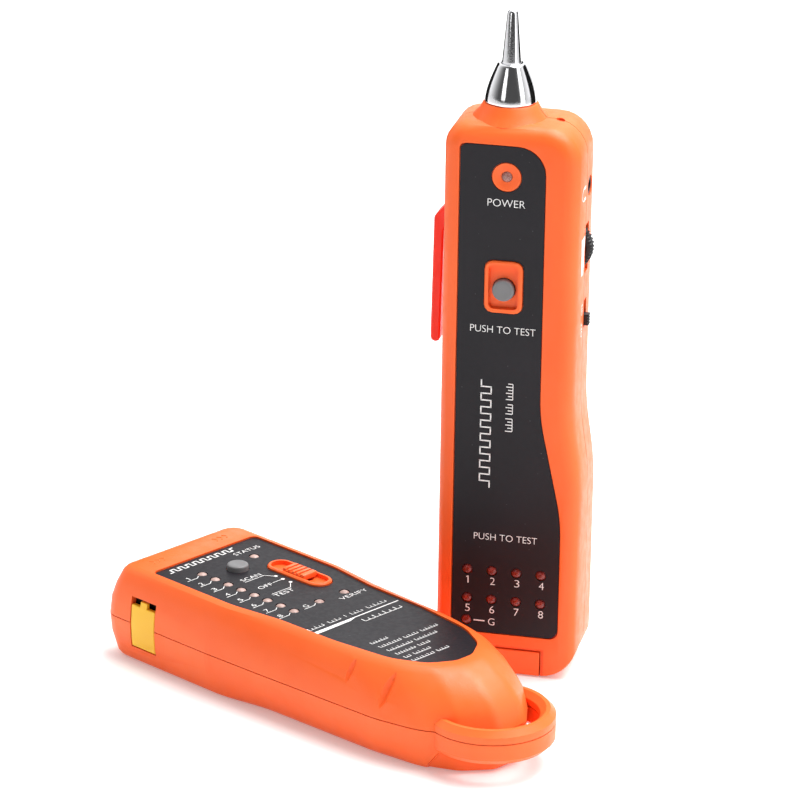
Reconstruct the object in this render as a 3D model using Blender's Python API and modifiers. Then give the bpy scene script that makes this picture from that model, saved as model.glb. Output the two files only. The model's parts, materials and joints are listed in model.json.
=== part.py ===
"""Tone probe kit: a tone receiver that stands upright and a tone emitter that lies beside it.

Sizes are millimetres, and the helpers turn them into metres. Each instrument is modelled in
its own frame under an empty. The receiver frame has X to the right of its front, Y to its
back and Z up from its foot; X = 0 and Y = 0 are on the axis of the probe tip. The emitter
frame has X along its length towards the lanyard ring, Y across it and Z up from its
underside; X = 0 is at the first wire lamp and Y = 0 on its centreline.
"""

import math

import bmesh
import bpy
from mathutils import Matrix, Vector

MM = 0.001
GAP = 0.3
WALL = 2.2

# Places of the two instruments in the kit.
RECEIVER_PLACE = (44.3, 41.2)
EMITTER_PLACE = (-41.7, 21.8)
EMITTER_TURN = -31.13

# Receiver body.
RX_LEFT = -18.5
RX_RIGHT = 24.9
RX_RIGHT_LOW = 28.1
RX_TOP = 184.0
RX_DEPTH = 29.0
RX_FRONT = -RX_DEPTH / 2
RX_BACK = RX_DEPTH / 2
RX_EDGE = 5.0
RX_FOOT_EDGE = 1.5
RX_BOARD_FRONT = -8.0
BOARD_THICK = 1.6
PANEL_THICK = 0.5
RX_PANEL_FRONT = RX_FRONT + 0.2
COLLAR_TOP = 188.5
FERRULE_TOP = 201.0
TIP_TOP = 218.0

# Receiver features on the front face: X and Z.
POWER_LAMP = (2.1, 168.0)
TEST_BUTTON = (1.95, 131.0)
BEZEL_LOW = (-4.1, 123.5)
BEZEL_HIGH = (8.0, 140.4)
BEZEL_FRONT = RX_FRONT - 0.9
BEZEL_RIM = 1.3
LAMP_DISC_RADIUS = 4.6
PAIR_LED_X = -7.8
PAIR_LED_PITCH = 8.0
PAIR_LED_Z = (35.4, 25.5)
GROUND_LED = (-7.8, 17.8)
LED_RADIUS = 1.5
LED_HOLE = 1.8
BUTTON_RADIUS = 3.5

# Receiver features on the right side: Y and Z.
HEADPHONE = (5.0, 161.5)
WHEEL = (2.6, 141.8)
WHEEL_RADIUS = 8.0
WHEEL_PROUD = 2.2
POWER_KNOB = (2.6, 118.0)
POWER_TRAVEL = 4.0

# Receiver base and back.
PORT_LOW = (-8.7, 0.0)
PORT_HIGH = (16.4, 8.7)
PORT_BACK = 3.0
PORT_GROOVE = 1.3
RX_DOOR_LOW = (-12.0, 54.0)
RX_DOOR_HIGH = (16.6, 116.0)
DOOR_THICK = 1.2
RX_SCREWS = ((-11.3, 176.8), (17.0, 176.2), (18.4, 14.5), (-12.2, 14.5))

# Nine volt battery, its snap and a modular jack.
BATTERY = (26.5, 17.5, 46.4)
JACK = (16.0, 13.5, 18.0)
JACK_MOUTH = (11.9, 8.3, 13.5)

# Emitter body: half outlines as X, Y and corner radius, from the ring end to the far end.
EM_HEIGHT = 31.0
EM_SEAM = 14.0
EM_EDGE = 2.0
EM_PANEL_TOP = 30.5
EM_CEILING = 28.4
EM_TOP_HALF = (
    (108.6, 4.5, 6.0),
    (103.5, 12.5, 10.0),
    (94.0, 18.3, 25.0),
    (78.0, 21.3, 60.0),
    (44.0, 23.0, 40.0),
    (26.0, 25.6, 40.0),
    (-23.5, 25.6, 5.0),
)
EM_SEAM_HALF = (
    (126.8, 5.5, 7.0),
    (118.5, 15.4, 12.0),
    (108.0, 22.6, 25.0),
    (92.0, 26.0, 40.0),
    (45.0, 28.0, 100.0),
    (20.0, 28.8, 100.0),
    (-28.5, 29.0, 6.0),
)
EM_FOOT_HALF = (
    (125.2, 5.5, 6.0),
    (118.0, 14.8, 12.0),
    (107.0, 20.0, 25.0),
    (88.0, 22.4, 60.0),
    (42.0, 23.8, 40.0),
    (26.0, 27.2, 40.0),
    (-25.5, 27.2, 6.0),
)
EM_PANEL_HALF = (
    (105.2, 3.5, 5.5),
    (100.5, 11.2, 9.0),
    (90.0, 16.7, 20.0),
    (68.0, 19.4, 60.0),
    (45.0, 19.9, 40.0),
    (26.0, 22.6, 40.0),
    (-11.1, 22.6, 2.0),
)
RING_CENTRE = 117.0
RING_OUTER = 20.3
RING_INNER = 15.4
RING_LOW = 7.0
RING_HIGH = 18.2
RING_ROUND = 1.8

NOSE_STEP = 0.9

# Grip grooves in the flanks, for negative Y: middle, run, outward direction, disc radius, depth.
EM_GRIPS = (
    ((79.7, -24.0, 25.3), (-0.15, -0.39, -0.91), (0.12, -0.91, 0.4), 16.0, 0.8),
    ((94.4, -23.1, 22.6), (-0.146, -0.424, -0.894), (0.19, -0.87, 0.42), 30.0, 1.1),
)

# Emitter features on the top face: X and Y.
WIRE_LED_PITCH = 6.0
WIRE_LED_Y = -11.3
STATUS_LED = (0.7, 11.3)
VERIFY_LED = (42.0, 11.3)
EM_GROUND_LED = (42.0, 0.0)
SCAN_BUTTON = (4.7, 0.0)
MODE_SLOT = (21.7, 11.3)
MODE_RIM_LENGTH = 25.8
MODE_RIM_WIDTH = 8.8
MODE_RIM = 1.1
MODE_RIM_TOP = 31.3
MODE_FLOOR = 29.9
MODE_TRAVEL = 3.4
EM_BOARD_TOP = 24.2

# Emitter jack opening in the -Y side, and the sliding battery door underneath.
DUST_LOW = (-15.4, 5.6)
DUST_HIGH = (-4.0, 23.0)
DUST_INNER = -26.8
EM_DOOR_END = 60.0
EM_DOOR_HALF = 14.0
EM_DOOR_THICK = 1.9
EM_BATTERY_FROM = 8.0
EM_SCREWS = ((-20.5, 18.0), (-20.5, -18.0))

COLOURS = {
    "orange_plastic": ((1.0, 0.145, 0.045), 0.42, 0.0),
    "black_panel": ((0.035, 0.033, 0.038), 0.38, 0.0),
    "grey_rubber": ((0.26, 0.26, 0.27), 0.55, 0.0),
    "black_plastic": ((0.02, 0.02, 0.02), 0.5, 0.0),
    "yellow_plastic": ((0.95, 0.62, 0.06), 0.4, 0.0),
    "red_lamp": ((0.32, 0.03, 0.02), 0.25, 0.0),
    "clear_lamp": ((0.6, 0.5, 0.46), 0.25, 0.0),
    "chrome": ((0.75, 0.76, 0.78), 0.12, 1.0),
    "screw_steel": ((0.5, 0.5, 0.5), 0.35, 1.0),
    "board": ((0.02, 0.16, 0.07), 0.5, 0.0),
    "battery_case": ((0.08, 0.08, 0.1), 0.4, 0.0),
}

PARTS = "tone_probe_kit"
CUTTERS = "cutters"


# ---------------------------------------------------------------- scene and materials

def clear_scene():
    for obj in list(bpy.data.objects):
        bpy.data.objects.remove(obj, do_unlink=True)
    for name in (PARTS, CUTTERS):
        collection = bpy.data.collections.new(name)
        bpy.context.scene.collection.children.link(collection)


def material(name):
    """The named Principled material, made on its first use."""
    found = bpy.data.materials.get(name)
    if found:
        return found
    colour, roughness, metallic = COLOURS[name]
    made = bpy.data.materials.new(name)
    made.use_nodes = True
    shader = made.node_tree.nodes["Principled BSDF"]
    shader.inputs["Base Color"].default_value = (*colour, 1.0)
    shader.inputs["Roughness"].default_value = roughness
    shader.inputs["Metallic"].default_value = metallic
    made.diffuse_color = (*colour, 1.0)
    return made


def add_object(name, mesh, location=(0, 0, 0)):
    obj = bpy.data.objects.new(name, mesh)
    obj.location = Vector(location) * MM
    bpy.data.collections[PARTS].objects.link(obj)
    return obj


def hang(obj, frame):
    """Places a piece, its tools and their own tools in an instrument's frame."""
    obj.parent = frame
    for modifier in obj.modifiers:
        if modifier.type == "BOOLEAN":
            hang(modifier.object, frame)


def finish(obj, colour, frame):
    """Gives a finished piece its material and its place."""
    obj.data.materials.clear()
    obj.data.materials.append(material(colour))
    obj.data.shade_smooth()
    obj.data.set_sharp_from_angle(angle=math.radians(35))
    hang(obj, frame)
    return obj


def as_tool(obj):
    """Puts an object among the cutters, out of the model."""
    if obj.name in bpy.data.collections[PARTS].objects:
        bpy.data.collections[PARTS].objects.unlink(obj)
        bpy.data.collections[CUTTERS].objects.link(obj)
    obj.hide_render = True
    obj.display_type = "WIRE"


def boolean(obj, tool, operation):
    as_tool(tool)
    modifier = obj.modifiers.new(tool.name, "BOOLEAN")
    modifier.operation = operation
    modifier.solver = "EXACT"
    modifier.object = tool


def cut(obj, *tools):
    for tool in tools:
        boolean(obj, tool, "DIFFERENCE")


def fuse(obj, *tools):
    for tool in tools:
        boolean(obj, tool, "UNION")


def keep_inside(obj, tool):
    boolean(obj, tool, "INTERSECT")


def copy_of(obj, name, location):
    """A separate object that shares its mesh and modifiers with the first of its kind."""
    twin = obj.copy()
    twin.name = name
    twin.location = Vector(location) * MM
    bpy.data.collections[PARTS].objects.link(twin)
    return twin


# ---------------------------------------------------------------- outlines

def rounded(corners, steps=4):
    """Points of a closed outline whose corners (x, y, radius) are rounded by arcs."""
    points = []
    count = len(corners)
    for index, (x, y, radius) in enumerate(corners):
        here = Vector((x, y))
        before = Vector(corners[index - 1][:2]) - here
        after = Vector(corners[(index + 1) % count][:2]) - here
        reach = 0.49 * min(before.length, after.length)
        to_before = before.normalized()
        to_after = after.normalized()
        half_turn = to_before.angle(to_after) / 2
        tangent = min(radius / math.tan(half_turn), reach)
        arc = tangent * math.tan(half_turn)
        bisector = (to_before + to_after).normalized()
        centre = here + bisector * (arc / math.sin(half_turn))
        start = here + to_before * tangent - centre
        sweep = start.angle_signed(here + to_after * tangent - centre)
        for step in range(steps + 1):
            angle = -sweep * step / steps
            turn = Matrix.Rotation(angle, 2)
            points.append(centre + turn @ start)
    return points


def rectangle(low, high, radius=0.0, steps=3):
    corners = ((low[0], low[1]), (high[0], low[1]), (high[0], high[1]), (low[0], high[1]))
    if not radius:
        return [Vector(corner) for corner in corners]
    return rounded([(x, y, radius) for x, y in corners], steps)


def circle(centre, radius, segments=16):
    points = []
    for index in range(segments):
        angle = 2 * math.pi * index / segments
        points.append(Vector(centre) + radius * Vector((math.cos(angle), math.sin(angle))))
    return points


def stadium(centre, length, width, steps=6):
    low = (centre[0] - length / 2, centre[1] - width / 2)
    high = (centre[0] + length / 2, centre[1] + width / 2)
    return rectangle(low, high, width / 2 - 0.01, steps)


def mirrored(half):
    """A whole outline from the half at positive Y, as corners with radii."""
    return [(x, -y, radius) for x, y, radius in reversed(half)] + list(half)


def inset(points, distance):
    """The outline moved inwards; it runs counterclockwise."""
    moved = []
    count = len(points)
    for index, point in enumerate(points):
        along = (points[(index + 1) % count] - points[index - 1]).normalized()
        moved.append(point + Vector((-along.y, along.x)) * distance)
    return moved


# ---------------------------------------------------------------- solids

def mesh_from(bm, name):
    mesh = bpy.data.meshes.new(name)
    bm.to_mesh(mesh)
    bm.free()
    return mesh


def box(name, low, high, edge=0.0):
    """A box between two opposite corners, its edges rounded when edge is given."""
    size = (Vector(high) - Vector(low)) * MM
    bm = bmesh.new()
    bmesh.ops.create_cube(bm, size=1.0)
    bmesh.ops.scale(bm, vec=size, verts=bm.verts)
    obj = add_object(name, mesh_from(bm, name), (Vector(low) + Vector(high)) / 2)
    if edge:
        bevel = obj.modifiers.new("Rounded edges", "BEVEL")
        bevel.width = edge * MM
        bevel.segments = 2
    return obj


def rod(name, start, end, radius, end_radius=None, segments=16):
    """A cylinder or cone between two points."""
    run = Vector(end) - Vector(start)
    bm = bmesh.new()
    bmesh.ops.create_cone(
        bm,
        cap_ends=True,
        segments=segments,
        radius1=radius * MM,
        radius2=(radius if end_radius is None else end_radius) * MM,
        depth=run.length * MM,
    )
    obj = add_object(name, mesh_from(bm, name), (Vector(start) + Vector(end)) / 2)
    obj.rotation_euler = run.to_track_quat("Z", "Y").to_euler()
    return obj


def turned(name, profile, location, segments=16, tilt=0.0, closed=False):
    """A turned solid; the profile of (radius, height) runs down its outer side."""
    bm = bmesh.new()
    line = [bm.verts.new((radius * MM, 0, height * MM)) for radius, height in profile]
    for first, second in zip(line, line[1:]):
        bm.edges.new((first, second))
    if closed:
        bm.edges.new((line[-1], line[0]))
    obj = add_object(name, mesh_from(bm, name), location)
    screw = obj.modifiers.new("Turned", "SCREW")
    screw.steps = segments
    screw.render_steps = segments
    screw.use_merge_vertices = True
    screw.merge_threshold = 1e-6
    obj.rotation_euler = (tilt, 0, 0)
    return obj


def plate(name, outlines, low, high, edge=0.0, upright=False, edge_steps=2):
    """A flat outline, with any holes after it, made thick between two levels.

    A flat plate lies in XY between heights. An upright plate stands in XZ between depths.
    """
    curve = bpy.data.curves.new(name, "CURVE")
    curve.dimensions = "2D"
    curve.fill_mode = "BOTH"
    curve.extrude = ((high - low) / 2 - edge) * MM
    curve.bevel_depth = edge * MM
    curve.bevel_resolution = edge_steps
    curve.offset = -edge * MM
    for outline in outlines:
        spline = curve.splines.new("POLY")
        spline.points.add(len(outline) - 1)
        for control, point in zip(spline.points, outline):
            control.co = (point.x * MM, point.y * MM, 0, 1)
        spline.use_cyclic_u = True
    drawn = add_object(name, curve)
    bpy.context.view_layer.update()
    source = drawn.evaluated_get(bpy.context.evaluated_depsgraph_get())
    mesh = bpy.data.meshes.new_from_object(source)
    bpy.data.objects.remove(drawn, do_unlink=True)
    bm = bmesh.new()
    bm.from_mesh(mesh)
    bmesh.ops.remove_doubles(bm, verts=bm.verts, dist=1e-6)
    bmesh.ops.recalc_face_normals(bm, faces=bm.faces)
    bm.to_mesh(mesh)
    bm.free()
    middle = (low + high) / 2
    obj = add_object(name, mesh, (0, middle, 0) if upright else (0, 0, middle))
    obj.rotation_euler = (math.pi / 2 if upright else 0, 0, 0)
    return obj


def loft(name, rings):
    """A closed solid through rings of points that have the same count, lowest first."""
    bm = bmesh.new()
    loops = []
    for points, height in rings:
        loops.append([bm.verts.new((p.x * MM, p.y * MM, height * MM)) for p in points])
    count = len(loops[0])
    for lower, upper in zip(loops, loops[1:]):
        for index in range(count):
            after = (index + 1) % count
            bm.faces.new((lower[index], lower[after], upper[after], upper[index]))
    bm.faces.new(list(reversed(loops[0])))
    bm.faces.new(loops[-1])
    return add_object(name, mesh_from(bm, name))


# ---------------------------------------------------------------- shared pieces

def lamp_profile(length):
    """A round 3 mm lamp with a flange at its foot and a domed end."""
    shoulder = length - LED_RADIUS
    profile = [(0.0, length)]
    for step in (1, 2):
        angle = math.pi / 2 * step / 2
        profile.append((LED_RADIUS * math.sin(angle), shoulder + LED_RADIUS * math.cos(angle)))
    profile += [(LED_RADIUS, 0.9), (1.9, 0.9), (1.9, 0.0), (0.0, 0.0)]
    return profile


def button_profile(length):
    """A round push button with a soft rim and a flange that holds it behind the wall."""
    rim = BUTTON_RADIUS
    return [
        (0.0, length),
        (rim - 0.8, length - 0.05),
        (rim - 0.2, length - 0.35),
        (rim, length - 1.0),
        (rim, 0.7),
        (rim + 0.9, 0.7),
        (rim + 0.9, 0.0),
        (0.0, 0.0),
    ]


def battery(name, low, along, frame):
    """A nine volt battery with two snap studs on its far end."""
    width, thick, length = BATTERY
    low = Vector(low)
    size = Vector((length, width, thick)) if along == "x" else Vector((width, thick, length))
    obj = box(name, low, low + size, 1.5)
    middle = low + size / 2
    axis = Vector((-1, 0, 0)) if along == "x" else Vector((0, 0, 1))
    across = Vector((0, 1, 0)) if along == "x" else Vector((1, 0, 0))
    for side, radius in ((-1, 2.8), (1, 3.6)):
        foot = middle + axis * (length / 2 - 0.5) + across * (6.35 * side)
        fuse(obj, rod(name + "_stud", foot, foot + axis * 3.0, radius, segments=12))
    return finish(obj, "battery_case", frame)


def battery_snap(name, middle, along, frame):
    """The clip plate that presses on the two studs, with a socket for each."""
    thick = 3.4
    width, depth = BATTERY[0] - 1.0, 13.0
    middle = Vector(middle)
    half = Vector((thick, width, depth)) / 2 if along == "x" else Vector((width, depth, thick)) / 2
    obj = box(name, middle - half, middle + half, 0.8)
    axis = Vector((1, 0, 0)) if along == "x" else Vector((0, 0, -1))
    across = Vector((0, 1, 0)) if along == "x" else Vector((1, 0, 0))
    for side, radius in ((-1, 3.1), (1, 3.9)):
        mouth = middle + across * (6.35 * side) + axis * (thick / 2 - 2.4)
        cut(obj, rod(name + "_socket", mouth, mouth + axis * 5.0, radius, segments=12))
    return finish(obj, "black_plastic", frame)


def modular_jack(name, face, inward, across, frame):
    """A modular jack: its body runs inwards from the mouth, whose width lies across."""
    face = Vector(face)
    inward = Vector(inward)
    across = Vector(across)
    other = inward.cross(across)
    width, height, depth = JACK

    def block(label, sizes, start, length, shift=0.0):
        base = face + other * shift
        first = base + inward * start - across * sizes[0] / 2 - other * sizes[1] / 2
        second = base + inward * (start + length) + across * sizes[0] / 2 + other * sizes[1] / 2
        low = [min(a, b) for a, b in zip(first, second)]
        high = [max(a, b) for a, b in zip(first, second)]
        return box(label, low, high)

    obj = block(name, (width, height), 0.0, depth)
    cut(obj, block(name + "_mouth", JACK_MOUTH[:2], -1.0, JACK_MOUTH[2] + 1.0, -0.8))
    cut(obj, block(name + "_latch", (4.0, 3.0), -1.0, 9.0, 4.2))
    return finish(obj, "black_plastic", frame)


# ---------------------------------------------------------------- receiver

def receiver_outline(depth=0.0, foot=None):
    """Front view of the body, moved inwards by a depth; foot is the level of its lower end."""
    left = RX_LEFT + depth
    right = RX_RIGHT - depth
    low_right = RX_RIGHT_LOW - depth
    level = depth if foot is None else foot
    return rounded([
        (left, level, 6.5 - depth),
        (low_right, level, 12.0 - depth),
        (low_right, 68.0, 90.0),
        (right, 89.0, 90.0),
        (right, RX_TOP - depth, 11.0 - depth),
        (left, RX_TOP - depth, 7.8 - depth),
    ], 7)


def receiver_prism(name):
    """The body without its collar: soft long edges, and a crisper edge round the foot."""
    below = -3 * RX_EDGE
    body = plate(name, [receiver_outline(0.0, below)], RX_FRONT, RX_BACK, RX_EDGE, upright=True)
    outline = [receiver_outline()]
    form = plate(name + "_form", outline, RX_FRONT, RX_BACK, RX_FOOT_EDGE, True, edge_steps=1)
    keep_inside(body, form)
    return body


def receiver_solid(name):
    """The whole outer form, with the collar that carries the probe."""
    body = receiver_prism(name)
    collar = turned(
        name + "_collar",
        [(0, COLLAR_TOP), (8.3, COLLAR_TOP), (8.8, COLLAR_TOP - 0.5), (9.6, 186.4),
         (12.3, 183.3), (12.3, 177.0), (0, 177.0)],
        (0, 0, 0),
        segments=48,
    )
    fuse(body, collar)
    return body


def receiver_panel_outline(margin=0.0):
    left = -12.7 - margin
    right = 14.4 + margin
    low_right = 22.0 + margin
    return rounded([
        (left, 14.0 - margin, 3.0),
        (low_right, 14.0 - margin, 3.0),
        (low_right, 55.0, 60.0),
        (right, 89.5, 60.0),
        (right, 178.0 + margin, 9.0),
        (left, 178.0 + margin, 2.0),
    ], 7)


def pair_led_places():
    places = []
    for row_z in PAIR_LED_Z:
        for column in range(4):
            places.append((PAIR_LED_X + PAIR_LED_PITCH * column, row_z))
    return places


def front_hole(name, place, radius, segments=12):
    """A round cutter through the front wall."""
    start = (place[0], RX_FRONT - 3, place[1])
    end = (place[0], RX_FRONT + WALL + 2, place[1])
    return rod(name, start, end, radius, segments=segments)


def side_cutters(tag):
    """Openings in the right side for the wheel, the power knob and the headphone jack."""
    inner = RX_RIGHT - WALL - 1.5
    outer = RX_RIGHT + 3
    wheel_y, wheel_z = WHEEL
    knob_y, knob_z = POWER_KNOB
    jack_y, jack_z = HEADPHONE
    top = (0, 0, RX_TOP - WALL - 1)
    return [
        box(tag + "_wheel_slot", (inner - 6, wheel_y - 2.6, wheel_z - 8),
            (outer, wheel_y + 2.6, wheel_z + 8)),
        box(tag + "_knob_slot", (inner, knob_y - 2.0, knob_z - 2.6),
            (outer, knob_y + 2.0, knob_z + 2.6 + POWER_TRAVEL)),
        rod(tag + "_headphone_hole", (inner, jack_y, jack_z), (outer, jack_y, jack_z), 3.3),
        rod(tag + "_probe_bore", top, (0, 0, COLLAR_TOP + 1), 4.8),
        rod(tag + "_top_hole", (16, 0, RX_TOP - WALL - 1), (16, 0, RX_TOP + 1), 1.5, segments=12),
    ]


def base_cutter(name, margin=GAP, back=PORT_BACK + GAP):
    """The opening for the port cover, or with a wider margin the groove round it."""
    low = (PORT_LOW[0] - margin, RX_FRONT - 1, -1)
    high = (PORT_HIGH[0] + margin, back, PORT_HIGH[1] + margin)
    return box(name, low, high)


def receiver_cavity(name):
    outline = receiver_outline(WALL)
    return plate(name, [outline], RX_FRONT + WALL, RX_BACK - WALL, RX_EDGE - WALL, upright=True)


def receiver_front_shell(frame):
    shell = receiver_solid("receiver_front_shell")
    cut(shell, receiver_cavity("front_cavity"))
    cut(shell, box("front_seam", (-60, -GAP / 2, -10), (60, 40, 240)))
    for index, (x, z) in enumerate(RX_SCREWS):
        name = f"front_post_{index}"
        fuse(shell, rod(name, (x, RX_FRONT + 1.2, z), (x, -GAP / 2, z), 3.0, segments=12))
        cut(shell, rod(name + "_bore", (x, -8, z), (x, 1, z), 1.5, segments=8))
    recess = [receiver_panel_outline(GAP)]
    floor = RX_PANEL_FRONT + PANEL_THICK + GAP
    cut(shell, plate("panel_recess", recess, RX_FRONT - 1, floor, upright=True))
    bezel = rectangle(BEZEL_LOW, BEZEL_HIGH, 2.5)
    fuse(shell, plate("bezel", [bezel], BEZEL_FRONT, RX_FRONT + WALL - 0.5, 0.4, True, 0))
    low = (BEZEL_LOW[0] + BEZEL_RIM, BEZEL_LOW[1] + BEZEL_RIM)
    high = (BEZEL_HIGH[0] - BEZEL_RIM, BEZEL_HIGH[1] - BEZEL_RIM)
    pocket = rectangle(low, high, 1.6)
    cut(shell, plate("bezel_pocket", [pocket], RX_FRONT - 2, RX_FRONT + 0.9, upright=True))
    disc_back = (POWER_LAMP[0], RX_FRONT + 1.2, POWER_LAMP[1])
    disc_front = (POWER_LAMP[0], RX_PANEL_FRONT, POWER_LAMP[1])
    fuse(shell, rod("lamp_disc", disc_back, disc_front, LAMP_DISC_RADIUS, segments=24))
    dish_from = (POWER_LAMP[0], RX_PANEL_FRONT + 0.5, POWER_LAMP[1])
    dish_to = (POWER_LAMP[0], RX_PANEL_FRONT - 0.5, POWER_LAMP[1])
    cut(shell, rod("lamp_dish", dish_from, dish_to, 2.6, 5.4, segments=24))
    cut(shell, front_hole("power_lamp_hole", POWER_LAMP, LED_HOLE))
    cut(shell, front_hole("test_button_hole", TEST_BUTTON, BUTTON_RADIUS + GAP, 16))
    for index, place in enumerate(pair_led_places() + [GROUND_LED]):
        cut(shell, front_hole(f"pair_led_hole_{index}", place, LED_HOLE))
    cut(shell, *side_cutters("front"))
    cut(shell, base_cutter("front_base_opening"))
    cut(shell, base_cutter("front_base_groove", PORT_GROOVE, RX_FRONT + 0.7))
    return finish(shell, "orange_plastic", frame)


def receiver_back_shell(frame):
    shell = receiver_solid("receiver_back_shell")
    cut(shell, receiver_cavity("back_cavity"))
    cut(shell, box("back_seam", (-60, -40, -10), (60, GAP / 2, 240)))
    for index, (x, z) in enumerate(RX_SCREWS):
        name = f"back_boss_{index}"
        fuse(shell, rod(name, (x, GAP / 2, z), (x, RX_BACK - 1.2, z), 3.6, segments=12))
        cut(shell, rod(name + "_bore", (x, -1, z), (x, RX_BACK + 1, z), 1.6, segments=8))
        cut(shell, rod(name + "_seat", (x, RX_BACK - 2.2, z), (x, RX_BACK + 1, z), 2.8, segments=12))
    low, high = RX_DOOR_LOW, RX_DOOR_HIGH
    cut(shell, box("door_recess", (low[0] - GAP, RX_BACK - DOOR_THICK - GAP, low[1] - GAP),
                   (high[0] + GAP, RX_BACK + 1, high[1] + GAP)))
    cut(shell, box("door_opening", (low[0] + 0.8, RX_BACK - 4, low[1] + 1.2),
                   (high[0] - 0.8, RX_BACK + 1, high[1] - 1.2)))
    for index in range(5):
        z = 158.0 + 4.0 * index
        half = 8.5 - 1.2 * abs(index - 2)
        slot = stadium((0.5, z), 2 * half, 1.8, 3)
        cut(shell, plate(f"speaker_slot_{index}", [slot], RX_BACK - 4, RX_BACK + 1, upright=True))
    cut(shell, box("clip_slot", (RX_LEFT - 1, 3.7, 145.7), (RX_LEFT + WALL + 1, 10.3, 150.3)))
    cut(shell, *side_cutters("back"))
    cut(shell, base_cutter("back_base_opening"))
    return finish(shell, "orange_plastic", frame)


def receiver_faceplate(frame):
    holes = [circle(place, LED_HOLE, 12) for place in pair_led_places() + [GROUND_LED]]
    holes.append(circle(POWER_LAMP, LAMP_DISC_RADIUS + GAP, 24))
    bezel_low = (BEZEL_LOW[0] - GAP, BEZEL_LOW[1] - GAP)
    bezel_high = (BEZEL_HIGH[0] + GAP, BEZEL_HIGH[1] + GAP)
    holes.append(rectangle(bezel_low, bezel_high, 2.8))
    outlines = [receiver_panel_outline()] + holes
    back = RX_PANEL_FRONT + PANEL_THICK
    panel = plate("receiver_faceplate", outlines, RX_PANEL_FRONT, back, upright=True)
    finish(panel, "black_panel", frame)


def receiver_battery_door(frame):
    low, high = RX_DOOR_LOW, RX_DOOR_HIGH
    hinge = Vector((0, RX_BACK, low[1]))
    outline = rectangle((low[0], 0.0), (high[0], high[1] - low[1]), 1.0, 1)
    door = plate("receiver_battery_door", [outline], -DOOR_THICK, 0.0, upright=True)
    door.location += hinge * MM
    grip = [box(f"door_grip_{index}", (-2.0, RX_BACK - 0.5, high[1] - 8.0 + 2.0 * index),
                (6.6, RX_BACK + 1, high[1] - 7.0 + 2.0 * index)) for index in range(3)]
    cut(door, *grip)
    finish(door, "orange_plastic", frame)


def side_clip(frame):
    """The pocket clip on the left side: a springy leaf that hangs from its root."""
    outer = RX_LEFT - 6.1
    inner = outer + 3.2
    lean = 0.6
    leaf = rounded([
        (outer - lean, 105.3, 1.5), (inner - lean, 105.3, 1.5),
        (inner, 144.0, 1.5), (RX_LEFT - GAP, 144.0, 0.5),
        (RX_LEFT - GAP, 152.0, 0.5), (RX_LEFT - 2.0, 152.0, 1.0), (outer, 147.5, 2.0),
    ], 2)
    clip = plate("side_clip", [leaf], 3.0, 11.0, 0.5, upright=True, edge_steps=0)
    fuse(clip, box("clip_tongue", (RX_LEFT - 2, 4.0, 146.0), (RX_LEFT + WALL, 10.0, 150.0)))
    finish(clip, "orange_plastic", frame)


def probe(frame):
    """The bright bell-shaped ferrule and the rod that stands in it."""
    base = COLLAR_TOP + GAP
    rise = FERRULE_TOP - base
    profile = [(0, 192.0), (3.35, 192.0), (3.35, FERRULE_TOP), (4.1, FERRULE_TOP)]
    for step in range(7):
        part = step / 6
        radius = 4.45 + 3.8 * math.sin(part * math.pi / 2)
        profile.append((radius, FERRULE_TOP - 0.3 - (rise - 1.1) * part))
    profile += [(8.25, base), (4.2, base), (4.2, 176.0), (0, 176.0)]
    finish(turned("probe_ferrule", profile, (0, 0, 0), segments=32), "chrome", frame)
    tip = [(0, TIP_TOP), (0.9, TIP_TOP - 0.15), (1.5, TIP_TOP - 0.6), (1.75, TIP_TOP - 1.4),
           (3.05, FERRULE_TOP + 0.5), (3.05, 192.0 + GAP), (0, 192.0 + GAP)]
    finish(turned("probe_tip", tip, (0, 0, 0), segments=24), "chrome", frame)


def receiver_lamps(frame):
    foot = RX_BOARD_FRONT - GAP
    reach = foot - (RX_PANEL_FRONT - 0.3)
    seat = (POWER_LAMP[0], foot, POWER_LAMP[1])
    first = turned("power_led", lamp_profile(reach), seat, 10, math.pi / 2)
    finish(first, "clear_lamp", frame)
    places = pair_led_places()
    led = turned("pair_led_1", lamp_profile(reach), (places[0][0], foot, places[0][1]), 10, math.pi / 2)
    finish(led, "red_lamp", frame)
    for index, (x, z) in enumerate(places[1:], start=2):
        copy_of(led, f"pair_led_{index}", (x, foot, z))
    copy_of(led, "pair_led_ground", (GROUND_LED[0], foot, GROUND_LED[1]))


def receiver_board(frame):
    outline = rounded([
        (-15.0, 23.0, 1.5), (24.0, 23.0, 1.5), (24.0, 64.0, 5.0), (20.6, 92.0, 5.0),
        (20.6, 170.5, 1.5), (-15.0, 170.5, 1.5),
    ], 1)
    back = RX_BOARD_FRONT + BOARD_THICK
    board = plate("receiver_circuit_board", [outline], RX_BOARD_FRONT, back, upright=True)
    finish(board, "board", frame)


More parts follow.
